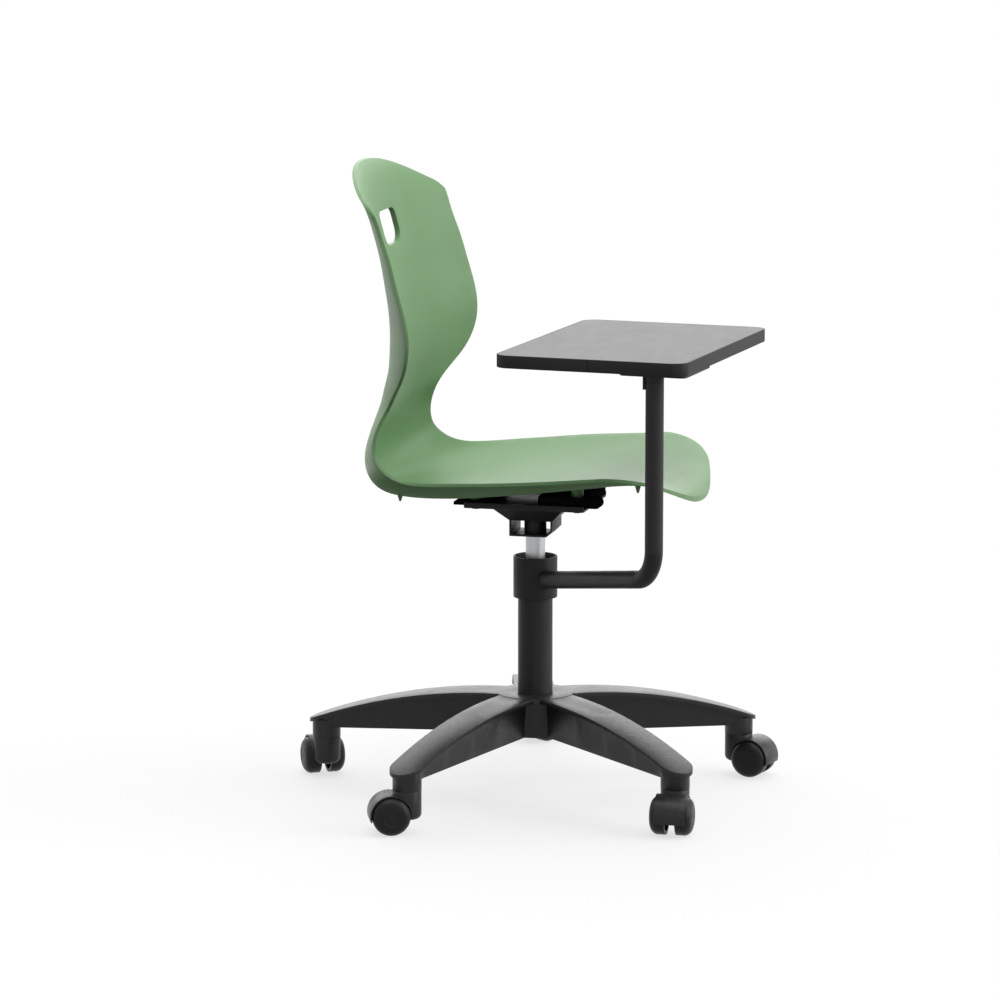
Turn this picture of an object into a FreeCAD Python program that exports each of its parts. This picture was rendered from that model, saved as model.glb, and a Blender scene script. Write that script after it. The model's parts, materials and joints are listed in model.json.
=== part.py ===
import FreeCAD, Part
import math
import os
from types import SimpleNamespace

import Sketcher

# A swivel chair with a one-piece plastic shell, a gas lift on a five-legged
# castor base, and a writing tablet on a bent tube that turns round the column.
# Frame: Z up, the floor at Z = 0, the column's axis at X = Y = 0.
# The sitter faces -Y, so the sitter's right side is -X.

# Every length in millimetres and every angle in degrees, one cell each.
SIZES = {
    # running fits and joins
    "running_gap": 0.05,
    "rest_gap": 0.3,
    "overrun": 5.0,
    # five-legged base
    "leg_first_angle": 15.4,
    "castor_circle_r": 318.4,
    "leg_tip_r": 24.5,
    "leg_hub_half_w": 29.0,
    "leg_top_thick": 6.0,
    "leg_wall": 3.2,
    "leg_wall_root_inset": 15.0,
    "leg_wall_tip_inset": 4.0,
    "leg_draft": 3.0,
    "leg_start_r": 46.0,
    "leg_root_r": 38.0,
    "leg_top_drop": 0.6,
    "leg_tip_top_z": 86.5,
    "leg_under_tip_z": 75.5,
    "hub_top_z": 145.0,
    "hub_bottom_z": 86.0,
    "hub_r": 46.0,
    "hub_wall": 3.5,
    "hub_sleeve_r": 29.0,
    "hub_cap_r": 56.0,
    "hub_cap_thick": 6.0,
    "hub_floor": 5.0,
    "hub_floor_hole_r": 19.0,
    "rib_thick": 2.5,
    "socket_r": 20.5,
    "socket_bottom_z": 61.0,
    "socket_depth": 22.0,
    # castors
    "castor_trail": 24.0,
    "wheel_r": 27.0,
    "wheel_inner_y": 7.4,
    "wheel_outer_y": 30.0,
    "wheel_tread_y": 20.0,
    "wheel_dome_y": 28.2,
    "wheel_dome_r": 21.0,
    "wheel_face_r": 14.0,
    "wheel_hub_r": 8.0,
    "wheel_rim": 4.6,
    "wheel_web_y": 16.5,
    "wheel_bore_end_y": 24.0,
    "axle_r": 3.0,
    "axle_half": 23.4,
    "stem_r": 5.5,
    "stem_foot_z": 36.0,
    "stem_groove": 0.9,
    "stem_groove_w": 2.0,
    "stem_groove_drop": 5.0,
    "stem_top_gap": 0.5,
    "housing_r": 20.2,
    "housing_bottom_z": 20.0,
    "housing_round_r": 8.0,
    "web_half": 6.9,
    "web_r": 12.0,
    "hood_r": 30.0,
    "hood_half": 22.0,
    "hood_end_angle": -14.0,
    "hood_root_angle": 150.0,
    "hood_gap": 1.0,
    "castor_angle_one": 330.0,
    "castor_angle_two": 30.5,
    "castor_angle_three": 111.5,
    "castor_angle_four": 182.0,
    "castor_angle_five": 257.5,
    # column and gas lift
    "column_r": 25.0,
    "column_wall": 3.0,
    "column_floor": 4.0,
    "column_top_z": 326.0,
    "guide_length": 90.0,
    "gas_r": 14.0,
    "gas_wall": 2.0,
    "gas_bottom_z": 145.0,
    "gas_top_z": 399.0,
    "seal_length": 16.0,
    "valve_length": 16.0,
    "rod_r": 5.0,
    "rod_stub_r": 4.0,
    "rod_stub_drop": 3.5,
    "piston_z": 270.0,
    "piston_length": 10.0,
    "race_thick": 1.5,
    "race_r": 13.0,
    "ball_r": 2.0,
    "ball_circle_r": 9.5,
    "ball_gap": 0.02,
    "buffer_r": 12.0,
    "buffer_length": 12.0,
    "clip_r": 9.0,
    "clip_thick": 1.2,
    "valve_pin_r": 3.0,
    "valve_pin_length": 21.0,
    # under-seat mechanism
    "channel_half_y": 31.5,
    "channel_half_x": 30.0,
    "channel_bottom_z": 377.0,
    "channel_wall_z": 400.0,
    "channel_chamfer": 10.0,
    "sheet_thick": 2.5,
    "pan_half_y": 53.0,
    "pan_half_x": 50.0,
    "pan_lip": 9.0,
    "sleeve_r": 16.0,
    "sleeve_top_z": 397.0,
    "plate_bottom_z": 423.0,
    "plate_thick": 3.0,
    "plate_half_y": 88.0,
    "plate_half_x": 75.0,
    "plate_flange": 8.0,
    "plate_corner_r": 4.0,
    "lever_z": 408.5,
    "lever_r": 4.5,
    "lever_pivot_x": 20.0,
    "lever_end_x": 192.0,
    "lever_tail": 29.0,
    "lever_slot_half_y": 7.0,
    "lever_slot_below": 6.0,
    "lever_slot_above": 9.0,
    "lever_grip_r": 7.0,
    "lever_grip_length": 62.0,
    "lever_grip_round": 2.0,
    "pivot_pin_r": 2.5,
    "bracket_half_x": 8.0,
    "bracket_inner_y": 6.0,
    "bracket_bottom_z": 402.5,
    "spacer_half_x": 68.0,
    "rear_spacer_front_y": 58.0,
    "rear_spacer_back_y": 104.0,
    "rear_spacer_front_z": 434.6,
    "rear_spacer_back_z": 430.6,
    "front_spacer_back_y": -20.0,
    "front_spacer_front_y": -104.0,
    "front_spacer_back_z": 444.8,
    "front_spacer_front_z": 454.4,
    "front_spacer_top_z": 443.0,
    "front_spacer_nose_low_z": 428.0,
    "front_spacer_crest_half_x": 40.0,
    "front_spacer_nose_x": 48.0,
    # seat screws and the shell's bosses
    "boss_r": 9.0,
    "boss_x": 54.0,
    "boss_y": 74.0,
    "boss_gap": 0.4,
    "screw_r": 3.0,
    "screw_head_r": 6.5,
    "screw_head_thick": 3.6,
    "rear_screw_length": 12.0,
    "front_screw_length": 24.0,
    # shell
    "shell_wall": 5.0,
    "shell_depth": 510.0,
    "shell_low_z": 435.5,
    "shell_rise": 477.5,
    "back_top_z": 910.5,
    "shell_half_w": 226.0,
    "back_half_w": 198.0,
    "back_corner_low_z": 829.0,
    "back_corner_mid_x": 193.0,
    "back_corner_mid_z": 854.0,
    "back_corner_x": 176.0,
    "back_corner_z": 868.0,
    "front_arc_u": 103.0,
    "front_arc_x": 225.3,
    "front_corner_mid_u": 196.5,
    "front_corner_mid_x": 186.0,
    "front_corner_u": 229.5,
    "front_corner_x": 123.0,
    "front_u": 247.0,
    "slot_z": 814.5,
    "slot_half_w": 41.0,
    "slot_half_rise": 24.5,
    "slot_high_corner_r": 11.0,
    "slot_low_corner_r": 20.0,
    "slot_rim_wall": 3.5,
    "slot_rim_depth": 7.5,
    "stud_x": 115.0,
    "stud_rear_u": -165.0,
    "stud_front_u": 172.0,
    "stud_r": 4.5,
    "stud_tip_r": 1.5,
    "stud_length": 6.0,
    # arm
    "collar_r": 31.75,
    "collar_wall": 3.0,
    "collar_bottom_z": 285.0,
    "collar_top_z": 345.0,
    "bush_rise": 2.0,
    "bush_flange": 4.0,
    "bush_hole_r": 15.5,
    "arm_tube_r": 12.7,
    "arm_tube_wall": 2.0,
    "arm_heading": -136.7,
    "arm_root_z": 309.0,
    "arm_slope": 9.4,
    "arm_bend_r": 48.0,
    "post_circle_r": 328.4,
    "post_top_z": 635.0,
    "post_bush_flange": 3.0,
    "spigot_r": 8.0,
    "spigot_drop": 40.0,
    # writing tablet
    "tablet_turn": -5.75,
    "tablet_near": 21.5,
    "tablet_far": 381.4,
    "tablet_front": 49.1,
    "tablet_rear": 228.9,
    "tablet_bottom_z": 650.0,
    "tablet_thick": 18.0,
    "tablet_corner_r": 22.0,
    "edge_band_thick": 2.0,
    "laminate_thick": 0.8,
    "bracket_plate_thick": 3.0,
    "bracket_plate_near": 14.0,
    "bracket_plate_far": 106.0,
    "bracket_plate_half_y": 48.0,
    "bracket_plate_corner_r": 8.0,
    "stop_thick": 3.0,
    "stop_half_w": 5.0,
    "stop_length": 19.5,
    "tablet_screw_r": 2.2,
    "tablet_screw_head_r": 4.2,
    "tablet_screw_head_thick": 2.4,
    "tablet_screw_length": 12.0,
    "tablet_screw_inset": 12.0,
    "tablet_screw_near_inset": 34.0,
}

LEG_COUNT = 5
BALL_COUNT = 9
CASTOR_NAMES = ("one", "two", "three", "four", "five")

# The leg's top falls away along a parabola: how far out, how far down.
LEG_SHARES = (0, 0.22, 0.45, 0.68, 0.93, 1)
LEG_TIP_WIDTH_SHARE = 0.83

# Stations of the shell, from the top of the back to the front lip.
# Each row: the centre line's place forward of the column and above the lowest
# point of the seat, the side edge's place likewise, and the half width.
SHELL_SHARES = (
    (-0.494, 1.000, -0.447, 1.000, 0.912),
    (-0.470, 0.960, -0.417, 0.960, 0.900),
    (-0.452, 0.912, -0.383, 0.912, 0.879),
    (-0.440, 0.864, -0.358, 0.864, 0.860),
    (-0.425, 0.806, -0.340, 0.806, 0.852),
    (-0.410, 0.740, -0.318, 0.740, 0.861),
    (-0.397, 0.657, -0.296, 0.657, 0.875),
    (-0.388, 0.574, -0.274, 0.574, 0.877),
    (-0.385, 0.497, -0.265, 0.497, 0.864),
    (-0.387, 0.434, -0.274, 0.434, 0.829),
    (-0.393, 0.376, -0.297, 0.376, 0.752),
    (-0.406, 0.328, -0.327, 0.328, 0.650),
    (-0.418, 0.278, -0.352, 0.282, 0.588),
    (-0.432, 0.227, -0.372, 0.236, 0.622),
    (-0.446, 0.181, -0.382, 0.195, 0.664),
    (-0.459, 0.135, -0.379, 0.154, 0.700),
    (-0.462, 0.087, -0.361, 0.124, 0.737),
    (-0.446, 0.043, -0.328, 0.100, 0.774),
    (-0.412, 0.016, -0.292, 0.089, 0.815),
    (-0.353, 0.003, -0.260, 0.087, 0.850),
    (-0.275, 0.000, -0.218, 0.088, 0.885),
    (-0.176, 0.005, -0.157, 0.093, 0.920),
    (-0.059, 0.019, -0.055, 0.101, 0.965),
    (0.059, 0.036, 0.059, 0.111, 0.998),
    (0.176, 0.053, 0.178, 0.120, 0.982),
    (0.275, 0.068, 0.280, 0.129, 0.964),
    (0.349, 0.075, 0.361, 0.134, 0.975),
    (0.404, 0.072, 0.424, 0.125, 0.990),
    (0.447, 0.055, 0.463, 0.102, 1.000),
    (0.476, 0.030, 0.488, 0.071, 1.000),
    (0.494, 0.010, 0.508, 0.044, 1.000),
)
# Across a station: how far out, and how much of the edge's rise is reached.
ACROSS_SHARES = ((0, 0), (0.25, 0.045), (0.5, 0.205), (0.75, 0.515), (1, 1))


class Size:
    """A number, with the expression of the sheet's cells that gives it."""

    def __init__(self, text, value):
        self.text = text
        self.value = float(value)

    def __float__(self):
        return self.value

    def __add__(self, other):
        other = as_size(other)
        return Size(f"({self.text} + {other.text})", self.value + other.value)

    def __sub__(self, other):
        other = as_size(other)
        return Size(f"({self.text} - {other.text})", self.value - other.value)

    def __mul__(self, other):
        other = as_size(other)
        return Size(f"({self.text} * {other.text})", self.value * other.value)

    def __truediv__(self, other):
        other = as_size(other)
        return Size(f"({self.text} / {other.text})", self.value / other.value)

    def __radd__(self, other):
        return as_size(other) + self

    def __rsub__(self, other):
        return as_size(other) - self

    def __rmul__(self, other):
        return as_size(other) * self

    def __neg__(self):
        return Size(f"(0 - {self.text})", -self.value)


def as_size(thing):
    return thing if isinstance(thing, Size) else Size(repr(float(thing)), thing)


def cosine(angle):
    return Size(f"cos({angle.text} * 1deg)", math.cos(math.radians(angle.value)))


def sine(angle):
    return Size(f"sin({angle.text} * 1deg)", math.sin(math.radians(angle.value)))


def tangent(angle):
    return Size(f"tan({angle.text} * 1deg)", math.tan(math.radians(angle.value)))


doc = FreeCAD.newDocument("writing_tablet_chair")
sheet = doc.addObject("Spreadsheet::Sheet", "Sizes")
for row, (alias, number) in enumerate(SIZES.items(), start=1):
    sheet.set(f"A{row}", alias)
    sheet.set(f"B{row}", str(number))
    sheet.setAlias(f"B{row}", alias)
doc.recompute()
D = SimpleNamespace(**{alias: Size(f"Sizes.{alias}", sheet.get(alias)) for alias in SIZES})
SUB_PARTS = []


def bind(thing, name, size):
    """Set a property, from the sheet where it is a size."""
    if isinstance(size, Size):
        thing.setExpression(name, size.text)
    else:
        setattr(thing, name, size)


def place(thing, at=(0, 0, 0), turn=0, axis=(0, 0, 1)):
    """Stand a piece at a point, turned about one axis."""
    turn = as_size(turn)
    base = FreeCAD.Vector(*[float(part) for part in at])
    spin = FreeCAD.Rotation(FreeCAD.Vector(*axis), float(turn))
    thing.Placement = FreeCAD.Placement(base, spin)
    for letter, part in zip("xyz", at):
        if isinstance(part, Size):
            thing.setExpression(f"Placement.Base.{letter}", part.text)
    if float(turn):
        thing.setExpression("Placement.Rotation.Angle", turn.text)
    return thing


def sub_part(thing, node):
    """Name a finished piece of the chair."""
    thing.Label = node
    SUB_PARTS.append(thing)
    return thing


# Part primitives and booleans


def solid(kind, name, at=(0, 0, 0), turn=0, axis=(0, 0, 1), **sizes):
    thing = doc.addObject(kind, name)
    for key, size in sizes.items():
        bind(thing, key, size)
    return place(thing, at, turn, axis)


def cut(name, base, *tools):
    for count, tool in enumerate(tools):
        taken = doc.addObject("Part::Cut", f"{name}_cut_{count}")
        taken.Base = base
        taken.Tool = tool
        base = taken
    return base


def join(name, *pieces):
    joined = doc.addObject("Part::MultiFuse", f"{name}_join")
    joined.Shapes = list(pieces)
    joined.Refine = True
    return joined


def group(name, pieces):
    together = doc.addObject("Part::Compound", f"{name}_group")
    together.Links = list(pieces)
    return together


# Bodies made from sketches


def new_body(name):
    return doc.addObject("PartDesign::Body", name)


def origin_part(body, role):
    return next(item for item in body.Origin.OriginFeatures if item.Role == role)


def new_sketch(body, role, offset=0):
    """An empty sketch on one of the body's own planes, moved along its normal."""
    sketch = body.newObject("Sketcher::SketchObject", f"{body.Name}_sketch")
    sketch.AttachmentSupport = [(origin_part(body, role), "")]
    sketch.MapMode = "FlatFace"
    offset = as_size(offset)
    if float(offset):
        shift = FreeCAD.Vector(0, 0, float(offset))
        sketch.AttachmentOffset = FreeCAD.Placement(shift, FreeCAD.Rotation())
        sketch.setExpression("AttachmentOffset.Base.z", offset.text)
    return sketch


def hold(sketch, kind, *where):
    """Add a dimension to a sketch, held by the sheet."""
    *points, size = where
    size = as_size(size)
    index = sketch.addConstraint(Sketcher.Constraint(kind, *points, float(size)))
    sketch.setExpression(f"Constraints[{index}]", size.text)


def hold_point(sketch, curve, end, point):
    hold(sketch, "DistanceX", -1, 1, curve, end, point[0])
    hold(sketch, "DistanceY", -1, 1, curve, end, point[1])


def flat(point):
    return FreeCAD.Vector(float(point[0]), float(point[1]), 0)


def arc_through(start, middle, end):
    """The arc through three points, always drawn anticlockwise."""
    circle = Part.Arc(start, middle, end).toShape().Curve
    if (middle - start).cross(end - middle).z < 0:
        start, end = end, start
    first, last = [
        math.atan2(point.y - circle.Center.y, point.x - circle.Center.x) for point in (start, end)
    ]
    whole = Part.Circle(circle.Center, FreeCAD.Vector(0, 0, 1), circle.Radius)
    return Part.ArcOfCircle(whole, first, last if last > first else last + 2 * math.pi)


def draw_outline(sketch, points):
    """A closed outline. A point with four numbers ends an arc through its last two."""
    first = sketch.GeometryCount
    count = len(points)
    for index, point in enumerate(points):
        start = points[index - 1]
        if len(point) == 4:
            curve = arc_through(flat(start), flat(point[2:]), flat(point))
        else:
            curve = Part.LineSegment(flat(start), flat(point))
        sketch.addGeometry(curve, False)
    ends = []
    for index, point in enumerate(points):
        curve = sketch.Geometry[first + index]
        at_end = (curve.EndPoint - flat(point)).Length < (curve.StartPoint - flat(point)).Length
        ends.append(2 if at_end else 1)
    for index, point in enumerate(points):
        this = first + index
        after = (index + 1) % count
        joint = (this, ends[index], first + after, 3 - ends[after])
        sketch.addConstraint(Sketcher.Constraint("Coincident", *joint))
        hold_point(sketch, this, ends[index], point)
        if len(point) == 4:
            hold(sketch, "Radius", this, arc_radius(points[index - 1], point))


def arc_radius(start, end):
    """Radius of the arc from start to end through end's middle point, as a size."""
    across = [as_size(end[i]) - as_size(start[i]) for i in (0, 1)]
    lean = [as_size(end[i + 2]) - as_size(start[i]) for i in (0, 1)]
    rest = [as_size(end[i + 2]) - as_size(end[i]) for i in (0, 1)]
    area = across[0] * lean[1] - across[1] * lean[0]
    sides = root_of_sum(across) * root_of_sum(lean) * root_of_sum(rest)
    size = sides / (2 * area)
    return size if float(size) > 0 else -size


def root_of_sum(pair):
    total = pair[0] * pair[0] + pair[1] * pair[1]
    return Size(f"sqrt({total.text})", math.sqrt(total.value))


def draw_circle(sketch, centre, radius):
    circle = Part.Circle(flat(centre), FreeCAD.Vector(0, 0, 1), float(radius))
    index = sketch.addGeometry(circle, False)
    hold_point(sketch, index, 3, centre)
    hold(sketch, "Radius", index, radius)


def pad(body, sketch, length, both_ways=False, kind="PartDesign::Pad"):
    feature = body.newObject(kind, f"{body.Name}_pad")
    feature.Profile = sketch
    feature.Midplane = both_ways
    bind(feature, "Length", length)
    return feature


def pocket(body, sketch, length, both_ways=False, reverse=False):
    feature = pad(body, sketch, length, both_ways, "PartDesign::Pocket")
    feature.Reversed = reverse
    return feature


def loft(body, sections, kind="PartDesign::AdditiveLoft", straight=False):
    feature = body.newObject(kind, f"{body.Name}_loft")
    feature.Profile = sections[0]
    feature.Sections = sections[1:]
    feature.Ruled = straight
    return feature


def spin(body, sketch, axis="V_Axis"):
    feature = body.newObject("PartDesign::Revolution", f"{body.Name}_turn")
    feature.Profile = sketch
    feature.ReferenceAxis = (sketch, [axis])
    feature.Angle = 360
    return feature


def round_edges(body, radius, chosen):
    """Round the edges of the body's last feature that the test picks."""
    doc.recompute()
    base = body.Tip
    names = [
        f"Edge{index}"
        for index, edge in enumerate(base.Shape.Edges, start=1)
        if chosen(edge)
    ]
    feature = body.newObject("PartDesign::Fillet", f"{body.Name}_round")
    feature.Base = (base, names)
    bind(feature, "Radius", radius)
    return feature


def upright(edge):
    ends = [vertex.Point for vertex in edge.Vertexes]
    if len(ends) < 2:
        return False
    run = ends[1] - ends[0]
    return abs(run.z) > 0.99 * run.Length


def turned(node, profile, at=(0, 0, 0), turn=0):
    """A round piece about Z, from its profile of radius and height."""
    body = new_body(node)
    sketch = new_sketch(body, "XZ_Plane")
    draw_outline(sketch, profile)
    spin(body, sketch)
    return place(body, at, turn)


def tube_profile(inner, outer, low, high):
    return [(inner, low), (outer, low), (outer, high), (inner, high)]


def rectangle(left, right, low, high):
    return [(left, low), (right, low), (right, high), (left, high)]


# The five-legged base


def leg_station(share):
    """How far out, how high and how wide a leg's top is at a share of its length."""
    reach = D.castor_circle_r + D.leg_tip_r - D.leg_start_r
    high = D.hub_top_z - D.leg_top_drop
    fall = (high - D.leg_tip_top_z) * (share * share)
    width = D.leg_hub_half_w * (1 - (1 - LEG_TIP_WIDTH_SHARE) * share)
    return D.leg_start_r + reach * share, high - fall, width


def leg_under_z(distance):
    """How high the lower edge of a leg's side walls is."""
    fall = (D.hub_bottom_z - D.leg_under_tip_z) / (D.castor_circle_r - D.leg_root_r)
    return D.hub_bottom_z - (distance - D.leg_root_r) * fall


def leg_section(body, distance, top, bottom, low, high):
    """A cross-section of a leg: its half widths at the top and the bottom."""
    sketch = new_sketch(body, "YZ_Plane", distance)
    draw_outline(sketch, [(-bottom, low), (bottom, low), (top, high), (-top, high)])
    return sketch


def leg_side(share):
    """Where a side wall's station stands, its outer half width, lower edge and ceiling."""
    distance, high, width = leg_station(share)
    root = distance if share else D.leg_root_r
    inset = D.leg_wall_root_inset + (D.leg_wall_tip_inset - D.leg_wall_root_inset) * share
    return root, width - inset, leg_under_z(root), high - D.leg_top_thick


def leg_wall_section(body, share):
    root, outer, low, ceiling = leg_side(share)
    high = ceiling + D.leg_top_thick / 2
    return leg_section(body, root, outer, outer - D.leg_draft, low, high)


def leg_hollow_section(body, share):
    root, outer, low, ceiling = leg_side(share)
    inner = outer - D.leg_wall
    start = root + 2 * D.leg_wall
    return leg_section(body, start, inner, inner - D.leg_draft, low - D.overrun, ceiling)


def leg_rib(body, share):
    """A cross rib between a leg's side walls."""
    distance, outer, low, ceiling = leg_side(share)
    half = outer - D.leg_draft - D.leg_wall / 2
    sketch = new_sketch(body, "YZ_Plane", distance)
    high = ceiling + D.leg_top_thick / 2
    draw_outline(sketch, rectangle(-half, half, low + D.leg_wall, high))
    return pad(body, sketch, D.rib_thick)


def make_base_star():
    body = new_body("base_star")
    hub = new_sketch(body, "XZ_Plane")
    bore = D.column_r + D.running_gap
    floor_top = D.hub_bottom_z + D.hub_floor
    cap_low = D.hub_top_z - D.hub_cap_thick
    draw_outline(hub, [
        (D.hub_floor_hole_r, D.hub_bottom_z),
        (D.hub_sleeve_r, D.hub_bottom_z),
        (D.hub_sleeve_r, cap_low),
        (D.hub_r - D.hub_wall, cap_low),
        (D.hub_r - D.hub_wall, D.hub_bottom_z),
        (D.hub_r, D.hub_bottom_z),
        (D.hub_r, cap_low),
        (D.hub_cap_r, cap_low),
        (D.hub_cap_r, D.hub_top_z),
        (bore, D.hub_top_z),
        (bore, floor_top),
        (D.hub_floor_hole_r, floor_top),
    ])
    spin(body, hub)

    top = loft(body, [
        leg_section(body, distance, width, width, high - D.leg_top_thick, high)
        for distance, high, width in map(leg_station, LEG_SHARES)
    ])
    wall = loft(body, [leg_wall_section(body, share) for share in LEG_SHARES[:-1]], straight=True)

    socket = new_sketch(body, "XY_Plane", D.socket_bottom_z)
    draw_circle(socket, (D.castor_circle_r, 0), D.socket_r)
    socket_pad = pad(body, socket, D.leg_tip_top_z - D.socket_bottom_z)

    tip = new_sketch(body, "XY_Plane")
    end = D.castor_circle_r + D.leg_tip_r
    side = D.leg_hub_half_w + D.overrun
    diagonal = D.leg_tip_r * cosine(as_size(45))
    draw_outline(tip, [
        (D.castor_circle_r, -side),
        (end + D.overrun, -side),
        (end + D.overrun, side),
        (D.castor_circle_r, side),
        (D.castor_circle_r, D.leg_tip_r),
        (end, 0, D.castor_circle_r + diagonal, diagonal),
        (D.castor_circle_r, -D.leg_tip_r, D.castor_circle_r + diagonal, -diagonal),
    ])
    tip_cut = pocket(body, tip, D.hub_top_z, reverse=True)

    hollows = [leg_hollow_section(body, share) for share in LEG_SHARES[:-2]]
    hollow = loft(body, hollows, "PartDesign::SubtractiveLoft", straight=True)
    hole = new_sketch(body, "XY_Plane", D.socket_bottom_z)
    draw_circle(hole, (D.castor_circle_r, 0), D.stem_r + D.running_gap)
    hole_cut = pocket(body, hole, D.socket_depth, reverse=True)
    ribs = [leg_rib(body, share) for share in LEG_SHARES[1:-2]]

    legs = body.newObject("PartDesign::PolarPattern", "base_legs")
    legs.Originals = [top, wall, socket_pad, tip_cut, hollow, hole_cut, *ribs]
    legs.Axis = (origin_part(body, "Z_Axis"), [""])
    legs.Angle = 360
    legs.Occurrences = LEG_COUNT
    body.Tip = legs
    place(body, turn=D.leg_first_angle)
    sub_part(body, "base_star")


# The column and the gas lift inside it


def make_column():
    bottom = D.hub_bottom_z + D.hub_floor
    floor = bottom + D.column_floor
    bore = D.column_r - D.column_wall
    stub_hole = D.rod_stub_r + D.running_gap
    sub_part(turned("column_tube", [
        (stub_hole, bottom),
        (D.column_r, bottom),
        (D.column_r, D.column_top_z),
        (bore, D.column_top_z),
        (bore, floor),
        (stub_hole, floor),
    ]), "column_tube")

    guide_low = D.column_top_z - D.guide_length
    guide = tube_profile(D.gas_r + D.running_gap, bore, guide_low, D.column_top_z)
    sub_part(turned("column_guide_bush", guide), "column_guide_bush")

    lower = tube_profile(stub_hole, D.race_r, floor, floor + D.race_thick)
    sub_part(turned("bearing_lower_race", lower), "bearing_lower_race")

    ball_low = floor + D.race_thick + D.ball_gap
    balls = []
    for index in range(BALL_COUNT):
        angle = as_size(360 * index / BALL_COUNT)
        centre = (
            D.ball_circle_r * cosine(angle), D.ball_circle_r * sine(angle), ball_low + D.ball_r)
        balls.append(solid("Part::Sphere", f"ball_{index}", centre, Radius=D.ball_r))
    sub_part(group("bearing_balls", balls), "bearing_balls")

    upper_low = ball_low + 2 * D.ball_r + D.ball_gap
    upper_high = upper_low + D.race_thick
    upper = tube_profile(stub_hole, D.race_r, upper_low, upper_high)
    sub_part(turned("bearing_upper_race", upper), "bearing_upper_race")

    rod_bottom = bottom - D.rod_stub_drop
    sub_part(turned("piston_rod", [
        (0, rod_bottom),
        (D.rod_stub_r, rod_bottom),
        (D.rod_stub_r, upper_high),
        (D.rod_r, upper_high),
        (D.rod_r, D.piston_z),
        (D.gas_r - D.gas_wall - D.running_gap, D.piston_z),
        (D.gas_r - D.gas_wall - D.running_gap, D.piston_z + D.piston_length),
        (0, D.piston_z + D.piston_length),
    ]), "piston_rod")

    clip_high = bottom - D.rest_gap
    clip = tube_profile(D.rod_stub_r, D.clip_r, clip_high - D.clip_thick, clip_high)
    sub_part(turned("rod_clip", clip), "rod_clip")

    buffer = tube_profile(
        D.rod_r + D.running_gap, D.buffer_r, upper_high, upper_high + D.buffer_length)
    sub_part(turned("buffer_ring", buffer), "buffer_ring")


def make_gas_spring():
    bore = D.gas_r - D.gas_wall
    cylinder = tube_profile(bore, D.gas_r, D.gas_bottom_z, D.gas_top_z)
    sub_part(turned("gas_cylinder", cylinder), "gas_cylinder")
    seal_top = D.gas_bottom_z + D.seal_length
    seal = tube_profile(D.rod_r + D.running_gap, bore, D.gas_bottom_z, seal_top)
    sub_part(turned("cylinder_seal", seal), "cylinder_seal")
    pin_hole = D.valve_pin_r + D.running_gap
    valve = tube_profile(pin_hole, bore, D.gas_top_z - D.valve_length, D.gas_top_z)
    sub_part(turned("valve_body", valve), "valve_body")
    pin_top = D.lever_z - D.lever_r - D.rest_gap
    pin_low = pin_top - D.valve_pin_length
    sub_part(solid(
        "Part::Cylinder", "valve_pin", (0, 0, pin_low),
        Radius=D.valve_pin_r, Height=D.valve_pin_length), "valve_pin")


# The mechanism between the gas lift and the shell


def make_mechanism_housing():
    """An open channel round the sleeve, and the flared pan above it."""
    body = new_body("mechanism_housing")
    pan_rim = D.plate_bottom_z - D.sheet_thick
    side, wide = D.channel_half_x, D.pan_half_x
    front, long = D.channel_half_y, D.pan_half_y
    sheet_t = D.sheet_thick

    def level(half_x, half_y, height):
        sketch = new_sketch(body, "XY_Plane", height)
        draw_outline(sketch, rectangle(-half_x, half_x, -half_y, half_y))
        return sketch

    loft(body, [level(side, front, D.channel_wall_z), level(wide, long, pan_rim)], straight=True)
    lip = level(wide + D.pan_lip, long + D.pan_lip, pan_rim)
    pad(body, lip, sheet_t)
    loft(body, [
        level(side - sheet_t, front - sheet_t, D.channel_wall_z),
        level(wide - sheet_t, long - sheet_t, D.plate_bottom_z),
    ], "PartDesign::SubtractiveLoft", straight=True)

    section = new_sketch(body, "YZ_Plane")
    low, high = D.channel_bottom_z, D.channel_wall_z
    chamfer = D.channel_chamfer
    inner = front - sheet_t
    draw_outline(section, [
        (front, high),
        (inner, high),
        (inner, low + sheet_t),
        (chamfer - front, low + sheet_t),
        (sheet_t - front, low + chamfer),
        (sheet_t - front, high),
        (-front, high),
        (-front, low + chamfer - sheet_t / 2),
        (chamfer - front - sheet_t / 2, low),
        (front, low),
    ])
    pad(body, section, 2 * side, both_ways=True)

    hole = new_sketch(body, "XY_Plane", low - D.overrun)
    draw_circle(hole, (0, 0), D.sleeve_r)
    pocket(body, hole, sheet_t + 2 * D.overrun, reverse=True)

    slot = new_sketch(body, "YZ_Plane")
    half = D.lever_slot_half_y
    draw_outline(slot, rectangle(
        -half, half, D.lever_z - D.lever_slot_below, D.lever_z + D.lever_slot_above))
    pocket(body, slot, wide + D.overrun, reverse=True)
    sub_part(body, "mechanism_housing")

    sleeve = tube_profile(D.gas_r, D.sleeve_r, low, D.sleeve_top_z)
    sub_part(turned("taper_sleeve", sleeve), "taper_sleeve")


def screw_places():
    return [(x, y) for y in (D.boss_y, -D.boss_y) for x in (D.boss_x, -D.boss_x)]


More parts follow.
